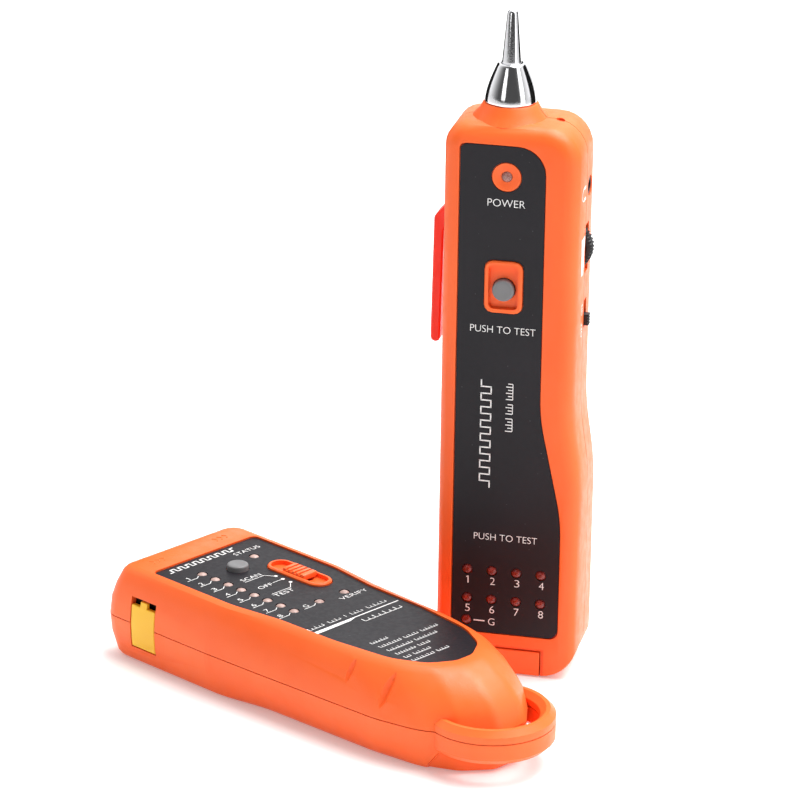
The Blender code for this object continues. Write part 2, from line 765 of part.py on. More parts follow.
def receiver_controls(frame):
    behind = RX_BOARD_FRONT + BOARD_THICK + GAP
    front_of_board = RX_BOARD_FRONT - GAP
    flange = RX_FRONT + WALL + GAP
    button = turned("test_button", button_profile(flange + 1.0 - (RX_FRONT - 1.4)),
                    (TEST_BUTTON[0], flange + 1.0, TEST_BUTTON[1]), 24, math.pi / 2)
    finish(button, "grey_rubber", frame)
    x, z = TEST_BUTTON
    switch = box("test_button_switch", (x - 3, -9.9, z - 3), (x + 3, front_of_board, z + 3), 0.3)
    finish(switch, "black_plastic", frame)

    wheel_y, wheel_z = WHEEL
    wheel_x = RX_RIGHT + WHEEL_PROUD - WHEEL_RADIUS
    teeth = []
    for index in range(64):
        radius = WHEEL_RADIUS if index % 2 else WHEEL_RADIUS - 0.45
        angle = 2 * math.pi * index / 64
        teeth.append(radius * Vector((math.cos(angle), math.sin(angle))))
    wheel = plate("volume_wheel", [teeth, circle((0, 0), 2.0, 12)], -2.2, 2.2, upright=True)
    wheel.location = Vector((wheel_x, wheel_y, wheel_z)) * MM
    finish(wheel, "black_plastic", frame)
    pot = box("volume_potentiometer", (wheel_x - 5, behind, wheel_z - 5),
              (wheel_x + 3, 0.0, wheel_z + 5), 0.3)
    shaft = ((wheel_x, -1, wheel_z), (wheel_x, wheel_y + 2.8, wheel_z))
    fuse(pot, rod("pot_shaft", *shaft, 1.6, segments=12))
    finish(pot, "black_plastic", frame)

    y, z = HEADPHONE
    jack = box("headphone_jack", (9.0, y - 3.3, z - 3.3), (RX_RIGHT - WALL - GAP, y + 3.3, z + 3.3), 0.3)
    fuse(jack, rod("jack_bushing", (18, y, z), (RX_RIGHT - 0.3, y, z), 2.95))
    cut(jack, rod("jack_bore", (12, y, z), (RX_RIGHT + 1, y, z), 1.8, segments=12))
    finish(jack, "black_plastic", frame)

    y, z = POWER_KNOB
    slider = box("power_switch_slider", (19.6, y - 1.5, z - 2), (RX_RIGHT + 1.6, y + 1.5, z + 1.7), 0.25)
    for index in range(3):
        low = (RX_RIGHT + 1.2, y - 3, z - 1.35 + 0.95 * index)
        cut(slider, box(f"knob_groove_{index}", low, (RX_RIGHT + 3, y + 3, low[2] + 0.5)))
    finish(slider, "black_plastic", frame)
    low = (12.5, behind, z - 4)
    body = box("power_switch_body", low, (19.3, y + 3, z + 4 + POWER_TRAVEL), 0.3)
    finish(body, "black_plastic", frame)


def receiver_inside(frame):
    width, thick, length = BATTERY
    middle = (RX_DOOR_LOW[0] + RX_DOOR_HIGH[0]) / 2
    behind = RX_BOARD_FRONT + BOARD_THICK + 0.6
    battery("receiver_battery", (middle - width / 2, behind, 56.0), "z", frame)
    snap_z = 56.0 + length + GAP + 1.7
    battery_snap("receiver_battery_snap", (middle, behind + thick / 2, snap_z), "z", frame)
    speaker = turned(
        "receiver_speaker",
        [(0, 4.6), (5.5, 4.6), (5.5, 3.4), (11.0, 3.4), (11.0, 1.0), (10.0, 0.0), (0, 0.0)],
        (0.5, RX_BACK - WALL - GAP, 166.0),
        24,
        math.pi / 2,
    )
    finish(speaker, "black_plastic", frame)
    face = ((PORT_LOW[0] + PORT_HIGH[0]) / 2, -12.0 + JACK[1] / 2 + 0.1, 2.7)
    modular_jack("receiver_rj45_jack", face, (0, 0, 1), (1, 0, 0), frame)


def receiver_port_cover(frame):
    """The cover over the test port: it wraps the front bottom edge and slides forward."""
    low = (PORT_LOW[0], RX_FRONT - 1, -1)
    cover = box("receiver_port_cover", low, (PORT_HIGH[0], PORT_BACK, PORT_HIGH[1]))
    keep_inside(cover, receiver_prism("cover_body"))
    cut(cover, box("cover_inside", (-40, RX_FRONT + 2.3, 2.4), (40, 20, 30)))
    finish(cover, "orange_plastic", frame)


def receiver_screws(frame):
    profile = [(0, 0), (2.5, 0), (2.5, -1.6), (1.25, -1.6), (1.25, -17.5), (0, -18.2)]
    first = None
    for index, (x, z) in enumerate(RX_SCREWS, start=1):
        place = (x, RX_BACK - 0.3, z)
        name = f"receiver_screw_{index}"
        if first is None:
            first = turned(name, profile, place, 12, -math.pi / 2)
            finish(first, "screw_steel", frame)
        else:
            copy_of(first, name, place)


def receiver(frame):
    receiver_front_shell(frame)
    receiver_back_shell(frame)
    receiver_faceplate(frame)
    receiver_battery_door(frame)
    side_clip(frame)
    probe(frame)
    receiver_lamps(frame)
    receiver_board(frame)
    receiver_controls(frame)
    receiver_inside(frame)
    receiver_port_cover(frame)
    receiver_screws(frame)


# ---------------------------------------------------------------- emitter

def blend_halves(first, second, share):
    blended = []
    for one, other in zip(first, second):
        blended.append(tuple(a + (b - a) * share for a, b in zip(one, other)))
    return blended


def emitter_section(height, depth=0.0):
    """Outline of the body at a height, moved inwards by a depth."""
    if height >= EM_SEAM:
        share = ((height - EM_SEAM) / (EM_HEIGHT - EM_SEAM)) ** 2
        half = blend_halves(EM_SEAM_HALF, EM_TOP_HALF, share)
    else:
        share = ((EM_SEAM - height) / EM_SEAM) ** 2
        half = blend_halves(EM_SEAM_HALF, EM_FOOT_HALF, share)
    return inset(rounded(mirrored(half), 4), depth)


def emitter_panel_outline(margin=0.0):
    return inset(rounded(mirrored(EM_PANEL_HALF), 6), -margin)


def emitter_solid(name, within=0.0):
    """The outer form without the ring, or a form that stays within it by a distance."""
    rings = []
    for height in (0.0, 0.6, 2.0):
        lift = 1 - height / EM_EDGE
        depth = EM_EDGE * (1 - math.sqrt(1 - lift ** 2))
        rings.append((emitter_section(height, within + depth), height))
    for height in (8.0, EM_SEAM, 20.0, 25.0):
        rings.append((emitter_section(height, within), height))
    for below in (2.0, 0.6, 0.0):
        lift = 1 - below / EM_EDGE
        depth = EM_EDGE * (1 - math.sqrt(1 - lift ** 2))
        rings.append((emitter_section(EM_HEIGHT - below, within + depth), EM_HEIGHT - below))
    return loft(name, rings)


def emitter_cavity(name):
    rings = []
    for height in (WALL, 8.0, EM_SEAM, 20.0, 25.0, EM_CEILING):
        rings.append((emitter_section(height, WALL), height))
    return loft(name, rings)


def emitter_ring(name):
    """The lanyard ring, moulded in halves with the two shells."""
    inner, outer, edge = RING_INNER, RING_OUTER, RING_ROUND
    low, high = RING_LOW, RING_HIGH
    profile = [
        (inner + edge, high), (outer - edge, high), (outer, high - edge), (outer, low + edge),
        (outer - edge, low), (inner + edge, low), (inner, low + edge), (inner, high - edge),
    ]
    return turned(name, profile, (RING_CENTRE, 0, 0), segments=64, closed=True)


def emitter_body(name):
    """Both halves in one: the outer form and ring, hollowed, with the jack opening."""
    body = emitter_solid(name)
    fuse(body, emitter_ring(name + "_ring"))
    cut(body, emitter_cavity(name + "_cavity"))
    low, high = DUST_LOW, DUST_HIGH
    cut(body, box(name + "_jack_opening", (low[0], -32, low[1]), (high[0], -24, high[1])))
    return body


def nose_step(name):
    """The sliver that is taken off the nose under the ring, behind a slanted edge."""
    lip = RING_LOW - 0.2
    outline = [Vector((106.8, -1.0)), Vector((140.0, -1.0)), Vector((140.0, lip)), Vector((112.6, lip))]
    sliver = plate(name, [outline], -40.0, 40.0, upright=True)
    cut(sliver, emitter_solid(name + "_core", NOSE_STEP))
    return sliver


def grip_cutter(name, groove, side):
    """A disc with a rounded V edge that dips into one flank and leaves a crescent groove."""
    middle, along, outward, radius, depth = groove
    flip = Vector((1, side, 1))
    middle, along, outward = (Vector(item) * flip for item in (middle, along, outward))
    profile = [(0, radius), (radius - 0.5, 0.75), (radius - 0.12, 0.3), (radius, 0)]
    profile += [(reach, -height) for reach, height in reversed(profile[:-1])]
    hub = middle + outward.normalized() * (radius - depth)
    disc = turned(name, profile, hub, segments=96)
    disc.rotation_euler = along.cross(outward).to_track_quat("Z", "Y").to_euler()
    return disc


def wire_led_places():
    return [(WIRE_LED_PITCH * index, WIRE_LED_Y) for index in range(8)]


def lamp_places():
    return wire_led_places() + [EM_GROUND_LED, STATUS_LED, VERIFY_LED]


def emitter_top_shell(frame):
    shell = emitter_body("emitter_top_shell")
    cut(shell, box("top_seam", (-60, -60, -10), (160, 60, EM_SEAM + GAP / 2)))
    for index, (x, y) in enumerate(EM_SCREWS):
        name = f"top_post_{index}"
        fuse(shell, rod(name, (x, y, EM_SEAM + GAP / 2), (x, y, 29.5), 3.0, segments=12))
        cut(shell, rod(name + "_bore", (x, y, 10), (x, y, 22), 1.5, segments=8))
    for index, groove in enumerate(EM_GRIPS):
        for side in (1, -1):
            cut(shell, grip_cutter(f"grip_{index}_{'near' if side > 0 else 'far'}", groove, side))
    recess = emitter_panel_outline(GAP)
    floor = EM_PANEL_TOP - PANEL_THICK - GAP
    cut(shell, plate("top_recess", [recess], floor, EM_HEIGHT + 1))
    rim = stadium(MODE_SLOT, MODE_RIM_LENGTH, MODE_RIM_WIDTH)
    fuse(shell, plate("mode_rim", [rim], 29.0, MODE_RIM_TOP, 0.4, edge_steps=0))
    well = stadium(MODE_SLOT, MODE_RIM_LENGTH - 2 * MODE_RIM, MODE_RIM_WIDTH - 2 * MODE_RIM)
    cut(shell, plate("mode_well", [well], MODE_FLOOR, EM_HEIGHT + 2))
    x, y = MODE_SLOT
    half = MODE_TRAVEL + 2.0
    cut(shell, box("mode_slot", (x - half, y - 1.4, 20), (x + half, y + 1.4, 40)))
    for index, (x, y) in enumerate(lamp_places()):
        cut(shell, rod(f"lamp_hole_{index}", (x, y, 20), (x, y, 40), LED_HOLE, segments=12))
    x, y = SCAN_BUTTON
    cut(shell, rod("scan_hole", (x, y, 20), (x, y, 40), BUTTON_RADIUS + GAP))
    return finish(shell, "orange_plastic", frame)


def emitter_bottom_shell(frame):
    shell = emitter_body("emitter_bottom_shell")
    cut(shell, box("bottom_seam", (-60, -60, EM_SEAM - GAP / 2), (160, 60, 60)))
    cut(shell, nose_step("nose_step"))
    floor = box("bottom_floor", (-40, -17.2, 1.4), (EM_DOOR_END + 6, 17.2, 4.2))
    keep_inside(floor, emitter_solid("floor_form", 1.0))
    fuse(shell, floor)
    for index, (x, y) in enumerate(EM_SCREWS):
        name = f"bottom_boss_{index}"
        fuse(shell, rod(name, (x, y, 1.2), (x, y, EM_SEAM - GAP / 2), 3.6, segments=12))
        cut(shell, rod(name + "_bore", (x, y, -1), (x, y, 20), 1.6, segments=8))
        cut(shell, rod(name + "_seat", (x, y, -1), (x, y, 2.2), 2.8, segments=12))
    half = EM_DOOR_HALF + GAP
    top = EM_DOOR_THICK + GAP
    cut(shell, box("door_track", (-60, -half, -1), (EM_DOOR_END + GAP, half, top)))
    length, width = BATTERY[2], BATTERY[0]
    low = (EM_BATTERY_FROM - 4.0, -width / 2 - 0.4, -1)
    high = (EM_BATTERY_FROM + length + 0.6, width / 2 + 0.4, 6)
    cut(shell, box("battery_opening", low, high))
    return finish(shell, "orange_plastic", frame)


def emitter_faceplate(frame):
    outlines = [emitter_panel_outline()]
    outlines += [circle(place, LED_HOLE, 12) for place in lamp_places()]
    outlines.append(circle(SCAN_BUTTON, BUTTON_RADIUS + GAP, 16))
    outlines.append(stadium(MODE_SLOT, MODE_RIM_LENGTH + 2 * GAP, MODE_RIM_WIDTH + 2 * GAP))
    panel = plate("emitter_faceplate", outlines, EM_PANEL_TOP - PANEL_THICK, EM_PANEL_TOP)
    finish(panel, "black_panel", frame)


def emitter_battery_door(frame):
    """The underside door; it slides out past the far end, away from the ring."""
    low = (-40, -EM_DOOR_HALF, -1)
    door = box("emitter_battery_door", low, (EM_DOOR_END, EM_DOOR_HALF, EM_DOOR_THICK))
    keep_inside(door, emitter_solid("door_form"))
    for index in range(3):
        x = EM_DOOR_END - 14.0 + 2.2 * index
        cut(door, box(f"slide_grip_{index}", (x, -6, -1), (x + 1.1, 6, 0.5)))
    finish(door, "orange_plastic", frame)


def emitter_lamps(frame):
    foot = EM_BOARD_TOP + GAP
    reach = EM_PANEL_TOP + 0.35 - foot
    led = turned("wire_led_1", lamp_profile(reach), (0, WIRE_LED_Y, foot), 10)
    finish(led, "clear_lamp", frame)
    for index, (x, y) in enumerate(wire_led_places()[1:], start=2):
        copy_of(led, f"wire_led_{index}", (x, y, foot))
    copy_of(led, "ground_led", (*EM_GROUND_LED, foot))
    copy_of(led, "status_led", (*STATUS_LED, foot))
    copy_of(led, "verify_led", (*VERIFY_LED, foot))


def emitter_controls(frame):
    x, y = SCAN_BUTTON
    flange = EM_CEILING - GAP - 0.7
    button = turned("scan_button", button_profile(EM_PANEL_TOP + 1.9 - flange), (x, y, flange), 24)
    finish(button, "grey_rubber", frame)
    floor = EM_BOARD_TOP + GAP
    switch = box("scan_button_switch", (x - 3, y - 3, floor), (x + 3, y + 3, floor + 1.9), 0.3)
    finish(switch, "black_plastic", frame)

    x, y = MODE_SLOT
    knob = box("mode_switch_slider", (x - 5, y - 3.1, MODE_FLOOR + GAP), (x + 5, y + 3.1, 32.3), 0.6)
    for index in range(4):
        groove = x - 3.3 + 1.9 * index
        cut(knob, box(f"mode_groove_{index}", (groove, y - 4, 31.7), (groove + 0.8, y + 4, 33)))
    fuse(knob, box("mode_stem", (x - 1.6, y - 1.0, 27.5), (x + 1.6, y + 1.0, 31.0)))
    finish(knob, "orange_plastic", frame)
    body = box("mode_switch_body", (x - 8, y - 3.5, floor), (x + 8, y + 3.5, 27.2), 0.3)
    finish(body, "black_plastic", frame)


def emitter_inside(frame):
    outline = rectangle((-14.0, -21.0), (50.0, 21.0), 1.5, 1)
    board = plate("emitter_circuit_board", [outline], EM_BOARD_TOP - BOARD_THICK, EM_BOARD_TOP)
    finish(board, "board", frame)
    width = BATTERY[0]
    battery("emitter_battery", (EM_BATTERY_FROM, -width / 2, 2.5), "x", frame)
    snap_x = EM_BATTERY_FROM - GAP - 1.7
    battery_snap("emitter_battery_snap", (snap_x, 0, 2.5 + BATTERY[1] / 2), "x", frame)
    middle = (DUST_LOW[0] + DUST_HIGH[0]) / 2
    modular_jack("emitter_rj45_jack", (middle, -25.6, 14.2), (0, 1, 0), (0, 0, 1), frame)


def jack_dust_cover(frame):
    """The yellow door over the jack, hinged at its outer bottom edge."""
    low, high = DUST_LOW, DUST_HIGH
    left, right = low[0] + GAP, high[0] - GAP
    middle = (left + right) / 2
    door = box("jack_dust_cover", (left, -32, low[1] + GAP), (right, DUST_INNER, high[1] - 2.5))
    fuse(door, box("dust_tab", (middle - 1.6, -32, high[1] - 4),
                   (middle + 1.6, DUST_INNER, high[1] - 0.7)))
    keep_inside(door, emitter_solid("dust_form"))
    finish(door, "yellow_plastic", frame)


def emitter_screws(frame):
    profile = [(0, 0), (1.25, -0.7), (1.25, -18.0), (2.5, -18.0), (2.5, -19.6), (0, -19.6)]
    place = (*EM_SCREWS[0], 19.9)
    first = finish(turned("emitter_screw_1", profile, place, 12), "screw_steel", frame)
    copy_of(first, "emitter_screw_2", (*EM_SCREWS[1], 19.9))


def emitter(frame):
    emitter_top_shell(frame)
    emitter_bottom_shell(frame)
    emitter_faceplate(frame)
    emitter_battery_door(frame)
    emitter_lamps(frame)
    emitter_controls(frame)
    emitter_inside(frame)
    jack_dust_cover(frame)
    emitter_screws(frame)


def main():
    clear_scene()
    receiver_frame = add_object("receiver_frame", None, (*RECEIVER_PLACE, 0))
    emitter_frame = add_object("emitter_frame", None, (*EMITTER_PLACE, 0))
    emitter_frame.rotation_euler = (0, 0, math.radians(EMITTER_TURN))
    receiver(receiver_frame)
    emitter(emitter_frame)


main()
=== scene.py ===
"""Tone probe kit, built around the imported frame: a tone receiver standing behind its emitter.

Sizes are millimetres, and the matrices RECEIVER and EMITTER turn them into metres in the row
frame. The receiver's own frame has X to the right of its front, Y to its back and Z up, with X
= Y = 0 on the probe's axis. The emitter's own frame has U along its length, V across it and Z
up, with U = 0 at the first wire lamp and V = 0 on its centreline.
"""

import math

import bmesh
import bpy
from mathutils import Matrix, Vector
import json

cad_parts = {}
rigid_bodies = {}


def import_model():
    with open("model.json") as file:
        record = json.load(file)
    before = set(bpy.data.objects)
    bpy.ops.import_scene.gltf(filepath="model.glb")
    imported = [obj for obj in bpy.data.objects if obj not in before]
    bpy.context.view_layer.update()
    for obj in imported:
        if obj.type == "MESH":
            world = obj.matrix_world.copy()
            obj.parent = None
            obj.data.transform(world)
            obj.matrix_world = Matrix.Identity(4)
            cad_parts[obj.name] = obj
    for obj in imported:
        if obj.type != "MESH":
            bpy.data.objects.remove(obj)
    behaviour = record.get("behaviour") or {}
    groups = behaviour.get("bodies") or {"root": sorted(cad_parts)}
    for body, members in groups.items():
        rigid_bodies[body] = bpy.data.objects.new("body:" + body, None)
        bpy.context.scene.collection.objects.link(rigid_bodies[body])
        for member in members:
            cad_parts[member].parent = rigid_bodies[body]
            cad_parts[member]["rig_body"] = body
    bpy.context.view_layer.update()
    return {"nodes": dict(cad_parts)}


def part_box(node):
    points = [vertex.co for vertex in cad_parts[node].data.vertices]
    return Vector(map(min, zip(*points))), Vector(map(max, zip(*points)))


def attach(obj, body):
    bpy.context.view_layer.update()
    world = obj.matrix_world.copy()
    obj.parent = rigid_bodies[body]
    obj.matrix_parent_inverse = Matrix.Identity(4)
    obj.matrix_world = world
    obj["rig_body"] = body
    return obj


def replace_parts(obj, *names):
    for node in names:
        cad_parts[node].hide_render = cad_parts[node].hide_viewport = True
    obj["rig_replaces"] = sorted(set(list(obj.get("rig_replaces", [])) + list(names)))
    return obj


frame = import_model()

MM = 0.001
NODES = frame["nodes"]


# Places, taken from the frame.


def centre(node):
    low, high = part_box(node)
    return (low + high) / 2


LAMP_ROW_V = -11.3
PROBE_AXIS = centre("probe_tip")
FIRST_LAMP = centre("wire_led_1")
LAST_LAMP = centre("wire_led_8")
ALONG = Vector((LAST_LAMP.x - FIRST_LAMP.x, LAST_LAMP.y - FIRST_LAMP.y, 0)).normalized()
ACROSS = Vector((-ALONG.y, ALONG.x, 0))
EMITTER_ORIGIN = Vector((FIRST_LAMP.x, FIRST_LAMP.y, 0)) - ACROSS * LAMP_ROW_V * MM

RECEIVER = Matrix.Translation((PROBE_AXIS.x, PROBE_AXIS.y, 0)) @ Matrix.Scale(MM, 4)
EMITTER = Matrix.Translation(EMITTER_ORIGIN) @ Matrix(
    (
        (ALONG.x, ACROSS.x, 0, 0),
        (ALONG.y, ACROSS.y, 0, 0),
        (0, 0, 1, 0),
        (0, 0, 0, 1),
    )
) @ Matrix.Scale(MM, 4)


# Materials.


class Shader:
    """A Principled material with a few shorthand calls for its nodes."""

    def __init__(self, name, roughness=0.5, **inputs):
        self.material = bpy.data.materials.new(name)
        self.material.use_nodes = True
        self.tree = self.material.node_tree
        self.principled = next(n for n in self.tree.nodes if n.type == "BSDF_PRINCIPLED")
        self.set("Roughness", roughness)
        for key, value in inputs.items():
            self.set(key.replace("_", " "), value)
        self.place = self.tree.nodes.new("ShaderNodeTexCoord").outputs["Object"]

    def set(self, socket, value):
        self.principled.inputs[socket].default_value = value

    def link(self, output, socket):
        self.tree.links.new(output, self.principled.inputs[socket])

    def stretched(self, scale):
        node = self.tree.nodes.new("ShaderNodeMapping")
        node.inputs["Scale"].default_value = scale
        self.tree.links.new(self.place, node.inputs["Vector"])
        return node.outputs["Vector"]

    def noise(self, scale, detail=3.0, vector=None):
        node = self.tree.nodes.new("ShaderNodeTexNoise")
        node.inputs["Scale"].default_value = scale
        node.inputs["Detail"].default_value = detail
        self.tree.links.new(vector or self.place, node.inputs["Vector"])
        return node.outputs["Fac"]

    def ramp(self, factor, *stops):
        node = self.tree.nodes.new("ShaderNodeValToRGB")
        elements = node.color_ramp.elements
        while len(elements) < len(stops):
            elements.new(0.5)
        for element, (position, colour) in zip(elements, stops):
            element.position = position
            element.color = (*colour, 1.0)
        self.tree.links.new(factor, node.inputs["Fac"])
        return node.outputs["Color"]

    def spread(self, factor, low, high, start=0.35, end=0.65):
        node = self.tree.nodes.new("ShaderNodeMapRange")
        node.inputs["From Min"].default_value = start
        node.inputs["From Max"].default_value = end
        node.inputs["To Min"].default_value = low
        node.inputs["To Max"].default_value = high
        self.tree.links.new(factor, node.inputs["Value"])
        return node.outputs["Result"]

    def mix(self, factor, first, second):
        node = self.tree.nodes.new("ShaderNodeMix")
        node.data_type = "RGBA"
        sockets = [s for s in node.inputs if s.type == "RGBA"]
        self.tree.links.new(factor, node.inputs[0])
        for socket, value in zip(sockets, (first, second)):
            if isinstance(value, tuple):
                socket.default_value = (*value, 1.0)
            else:
                self.tree.links.new(value, socket)
        return next(s for s in node.outputs if s.type == "RGBA")

    def edges(self):
        return self.tree.nodes.new("ShaderNodeNewGeometry").outputs["Pointiness"]

    def bump(self, *layers):
        """layers are (height, distance in metres), laid one on another."""
        normal = None
        for height, distance in layers:
            node = self.tree.nodes.new("ShaderNodeBump")
            node.inputs["Distance"].default_value = distance
            self.tree.links.new(height, node.inputs["Height"])
            if normal:
                self.tree.links.new(normal, node.inputs["Normal"])
            normal = node.outputs["Normal"]
        self.link(normal, "Normal")


GRAIN_SCALE = 1900
RIPPLE_DEPTH = 0.00003
SCRATCH_STRETCH = (40, 40, 900)
SCRATCH_DEPTH = 0.000004


def moulded_plastic(name, light, dark, low, high, grain=0.00004, **inputs):
    """Moulded plastic: slow colour drift, a spark-eroded grain and faint flow ripples."""
    s = Shader(name, **inputs)
    drift = s.noise(26, 2)
    grains = s.noise(GRAIN_SCALE, 2)
    ripple = s.noise(120, 1)
    base = s.ramp(drift, (0.3, dark), (0.7, light))
    # Painted highlight: the base colour is lightened towards a paler copy of itself on sharp convex
    # edges, where light catches the rounded rims.
    edge_highlight_colour = tuple(min(1.0, c * 1.12 + 0.01) for c in light)
    painted_edge_highlight = s.spread(s.edges(), 0.0, 0.55, 0.53, 0.6)
    s.link(s.mix(painted_edge_highlight, base, edge_highlight_colour), "Base Color")
    s.link(s.spread(s.noise(300, 4), low, high), "Roughness")
    s.bump((ripple, RIPPLE_DEPTH), (grains, grain))
    return s.material


def metal(name, colour, low, high):
    """Metal with fine drawn scratches and a slow change of tone."""
    s = Shader(name, Metallic=1.0)
    streaks = s.noise(30, 6, s.stretched(SCRATCH_STRETCH))
    tarnish = s.noise(90, 3)
    s.link(s.ramp(tarnish, (0.3, tuple(c * 0.93 for c in colour)), (0.7, colour)), "Base Color")
    s.link(s.spread(streaks, low, high), "Roughness")
    s.bump((streaks, SCRATCH_DEPTH))
    return s.material


def lens(name, light, dark, transmission, roughness=0.22):
    """Cast epoxy of a lamp, clouded in patches."""
    s = Shader(name, IOR=1.52, Transmission_Weight=transmission)
    cloud = s.noise(900, 3)
    s.link(s.ramp(cloud, (0.35, dark), (0.65, light)), "Base Color")
    s.link(s.spread(s.noise(2500, 2), roughness, roughness + 0.12), "Roughness")
    s.bump((s.noise(1500, 1), 0.00001))
    return s.material


ORANGE = moulded_plastic(
    "orange_shell", (1.0, 0.15, 0.028), (0.96, 0.125, 0.02), 0.34, 0.46, Specular_IOR_Level=0.3,
)
ORANGE_SATIN = moulded_plastic(
    "orange_small_parts", (1.0, 0.15, 0.026), (0.92, 0.12, 0.02), 0.3, 0.42, grain=0.00002,
)
# Painted shade: the clip is the shell's orange painted darker and redder, because the clip stands
# in shadow on the left.
SHADED_CLIP_ORANGE = moulded_plastic(
    "orange_clip_painted_shade", (0.98, 0.042, 0.018), (0.92, 0.034, 0.014), 0.36, 0.48, grain=0.00002,
    Specular_IOR_Level=0.25,
)
BLACK = moulded_plastic(
    "black_plastic", (0.012, 0.011, 0.012), (0.007, 0.007, 0.008), 0.34, 0.5, grain=0.00003,
    Specular_IOR_Level=0.3,
)
GREY_RUBBER = moulded_plastic(
    "grey_button", (0.2, 0.2, 0.205), (0.17, 0.17, 0.175), 0.42, 0.58, grain=0.00003,
)
YELLOW = moulded_plastic(
    "yellow_cover", (0.96, 0.56, 0.03), (0.9, 0.46, 0.018), 0.28, 0.42, grain=0.00002,
    Specular_IOR_Level=0.35,
)
IVORY = moulded_plastic(
    "ivory_nylon", (0.78, 0.75, 0.66), (0.7, 0.67, 0.58), 0.35, 0.5,
)
CHROME = metal("polished_chrome", (0.86, 0.86, 0.88), 0.03, 0.11)
STEEL = metal("plated_steel", (0.42, 0.42, 0.44), 0.25, 0.4)
RED_LENS = lens("red_lamp_epoxy", (0.42, 0.035, 0.02), (0.2, 0.012, 0.01), 0.35)
PALE_LENS = lens("frosted_lamp_epoxy", (0.72, 0.5, 0.44), (0.55, 0.36, 0.32), 0.3, 0.3)
POWER_LENS = lens("power_lamp_epoxy", (0.6, 0.3, 0.26), (0.42, 0.17, 0.14), 0.4, 0.18)


def panel_film():
    """The black overlay: a fine leather-like emboss under a satin coat, with dust specks."""
    s = Shader("black_panel_film", Specular_IOR_Level=0.22)
    tint = s.ramp(s.noise(35, 2), (0.3, (0.011, 0.01, 0.013)), (0.7, (0.015, 0.013, 0.017)))
    speck = s.spread(s.noise(1300, 0), 0.0, 0.4, 0.82, 0.87)
    s.link(s.mix(speck, tint, (0.12, 0.12, 0.13)), "Base Color")
    s.link(s.spread(s.noise(700, 3), 0.38, 0.46), "Roughness")
    s.bump((s.noise(1800, 2), 0.00002), (s.noise(14, 1), 0.0001))
    return s.material


def white_ink():
    """Screen-printed ink, a little worn."""
    s = Shader("white_ink")
    wear = s.noise(1600, 3)
    s.link(s.ramp(wear, (0.32, (0.7, 0.7, 0.7)), (0.5, (0.9, 0.9, 0.89))), "Base Color")
    s.link(s.spread(s.noise(2400, 2), 0.45, 0.65), "Roughness")
    return s.material


def circuit_green():
    """Solder mask over tracks."""
    s = Shader("green_solder_mask")
    tracks = s.noise(260, 0, s.stretched((1, 0.3, 1)))
    s.link(s.ramp(tracks, (0.48, (0.008, 0.11, 0.03)), (0.52, (0.02, 0.2, 0.06))), "Base Color")
    s.link(s.spread(s.noise(900, 2), 0.22, 0.36), "Roughness")
    s.bump((tracks, 0.00004))
    return s.material


def battery_jacket():
    """Printed metal jacket: dark and lighter tones in brushed streaks, faintly brushed."""
    s = Shader("battery_jacket", Metallic=0.7)
    brushed = s.noise(60, 5, s.stretched((3, 60, 3)))
    s.link(s.ramp(brushed, (0.3, (0.05, 0.06, 0.08)), (0.7, (0.1, 0.11, 0.14))), "Base Color")
    s.link(s.spread(brushed, 0.3, 0.45), "Roughness")
    s.bump((brushed, 0.00001))
    return s.material


PANEL = panel_film()
INK = white_ink()
MASK = circuit_green()
JACKET = battery_jacket()

FINISHES = {
    "receiver_front_shell": ORANGE,
    "receiver_back_shell": ORANGE,
    "receiver_battery_door": ORANGE,
    "receiver_port_cover": ORANGE,
    "emitter_top_shell": ORANGE,
    "emitter_bottom_shell": ORANGE,
    "emitter_battery_door": ORANGE,
    "side_clip": SHADED_CLIP_ORANGE,
    "mode_switch_slider": ORANGE_SATIN,
    "jack_dust_cover": YELLOW,
    "receiver_faceplate": PANEL,
    "emitter_faceplate": PANEL,
    "probe_ferrule": CHROME,
    "probe_tip": CHROME,
    "power_led": POWER_LENS,
    "test_button": GREY_RUBBER,
    "scan_button": GREY_RUBBER,
    "volume_wheel": BLACK,
    "power_switch_slider": BLACK,
    "headphone_jack": BLACK,
    "receiver_circuit_board": MASK,
    "emitter_circuit_board": MASK,
    "receiver_battery": JACKET,
    "emitter_battery": JACKET,
    "receiver_rj45_jack": BLACK,
    "emitter_rj45_jack": BLACK,
    "receiver_speaker": STEEL,
    "volume_potentiometer": STEEL,
    "power_switch_body": STEEL,
    "mode_switch_body": STEEL,
    "test_button_switch": IVORY,
    "scan_button_switch": IVORY,
    "receiver_battery_snap": BLACK,
    "emitter_battery_snap": BLACK,
}
FINISH_BY_PREFIX = (
    ("pair_led", RED_LENS),
    ("wire_led", PALE_LENS),
    ("ground_led", PALE_LENS),
    ("status_led", PALE_LENS),
    ("verify_led", PALE_LENS),
    ("receiver_screw", STEEL),
    ("emitter_screw", STEEL),
)


def finish_of(node):
    if node in FINISHES:
        return FINISHES[node]
    return next(material for prefix, material in FINISH_BY_PREFIX if node.startswith(prefix))


# Shapes.


def linked(name, mesh, material):
    obj = bpy.data.objects.new(name, mesh)
    bpy.context.scene.collection.objects.link(obj)
    mesh.materials.clear()
    mesh.materials.append(material)
    return obj


SHARP = math.radians(32)
WELD = 0.002 * MM
FLAT = 0.002


def smooth(mesh):
    mesh.polygons.foreach_set("use_smooth", [True] * len(mesh.polygons))
    mesh.set_sharp_from_angle(angle=SHARP)
    mesh.update()


def clean_copy(node):
    """The node's mesh with its seams welded and its flat faces joined, as a new object."""
    mesh = NODES[node].data.copy()
    if mesh.has_custom_normals:
        mesh.attributes.remove(mesh.attributes["custom_normal"])
    work = bmesh.new()
    work.from_mesh(mesh)
    bmesh.ops.remove_doubles(work, verts=work.verts, dist=WELD)
    bmesh.ops.dissolve_limit(work, angle_limit=FLAT, verts=work.verts, edges=work.edges)
    work.to_mesh(mesh)
    work.free()
    mesh.name = "shape_" + node
    smooth(mesh)
    return linked(node + "_piece", mesh, finish_of(node))


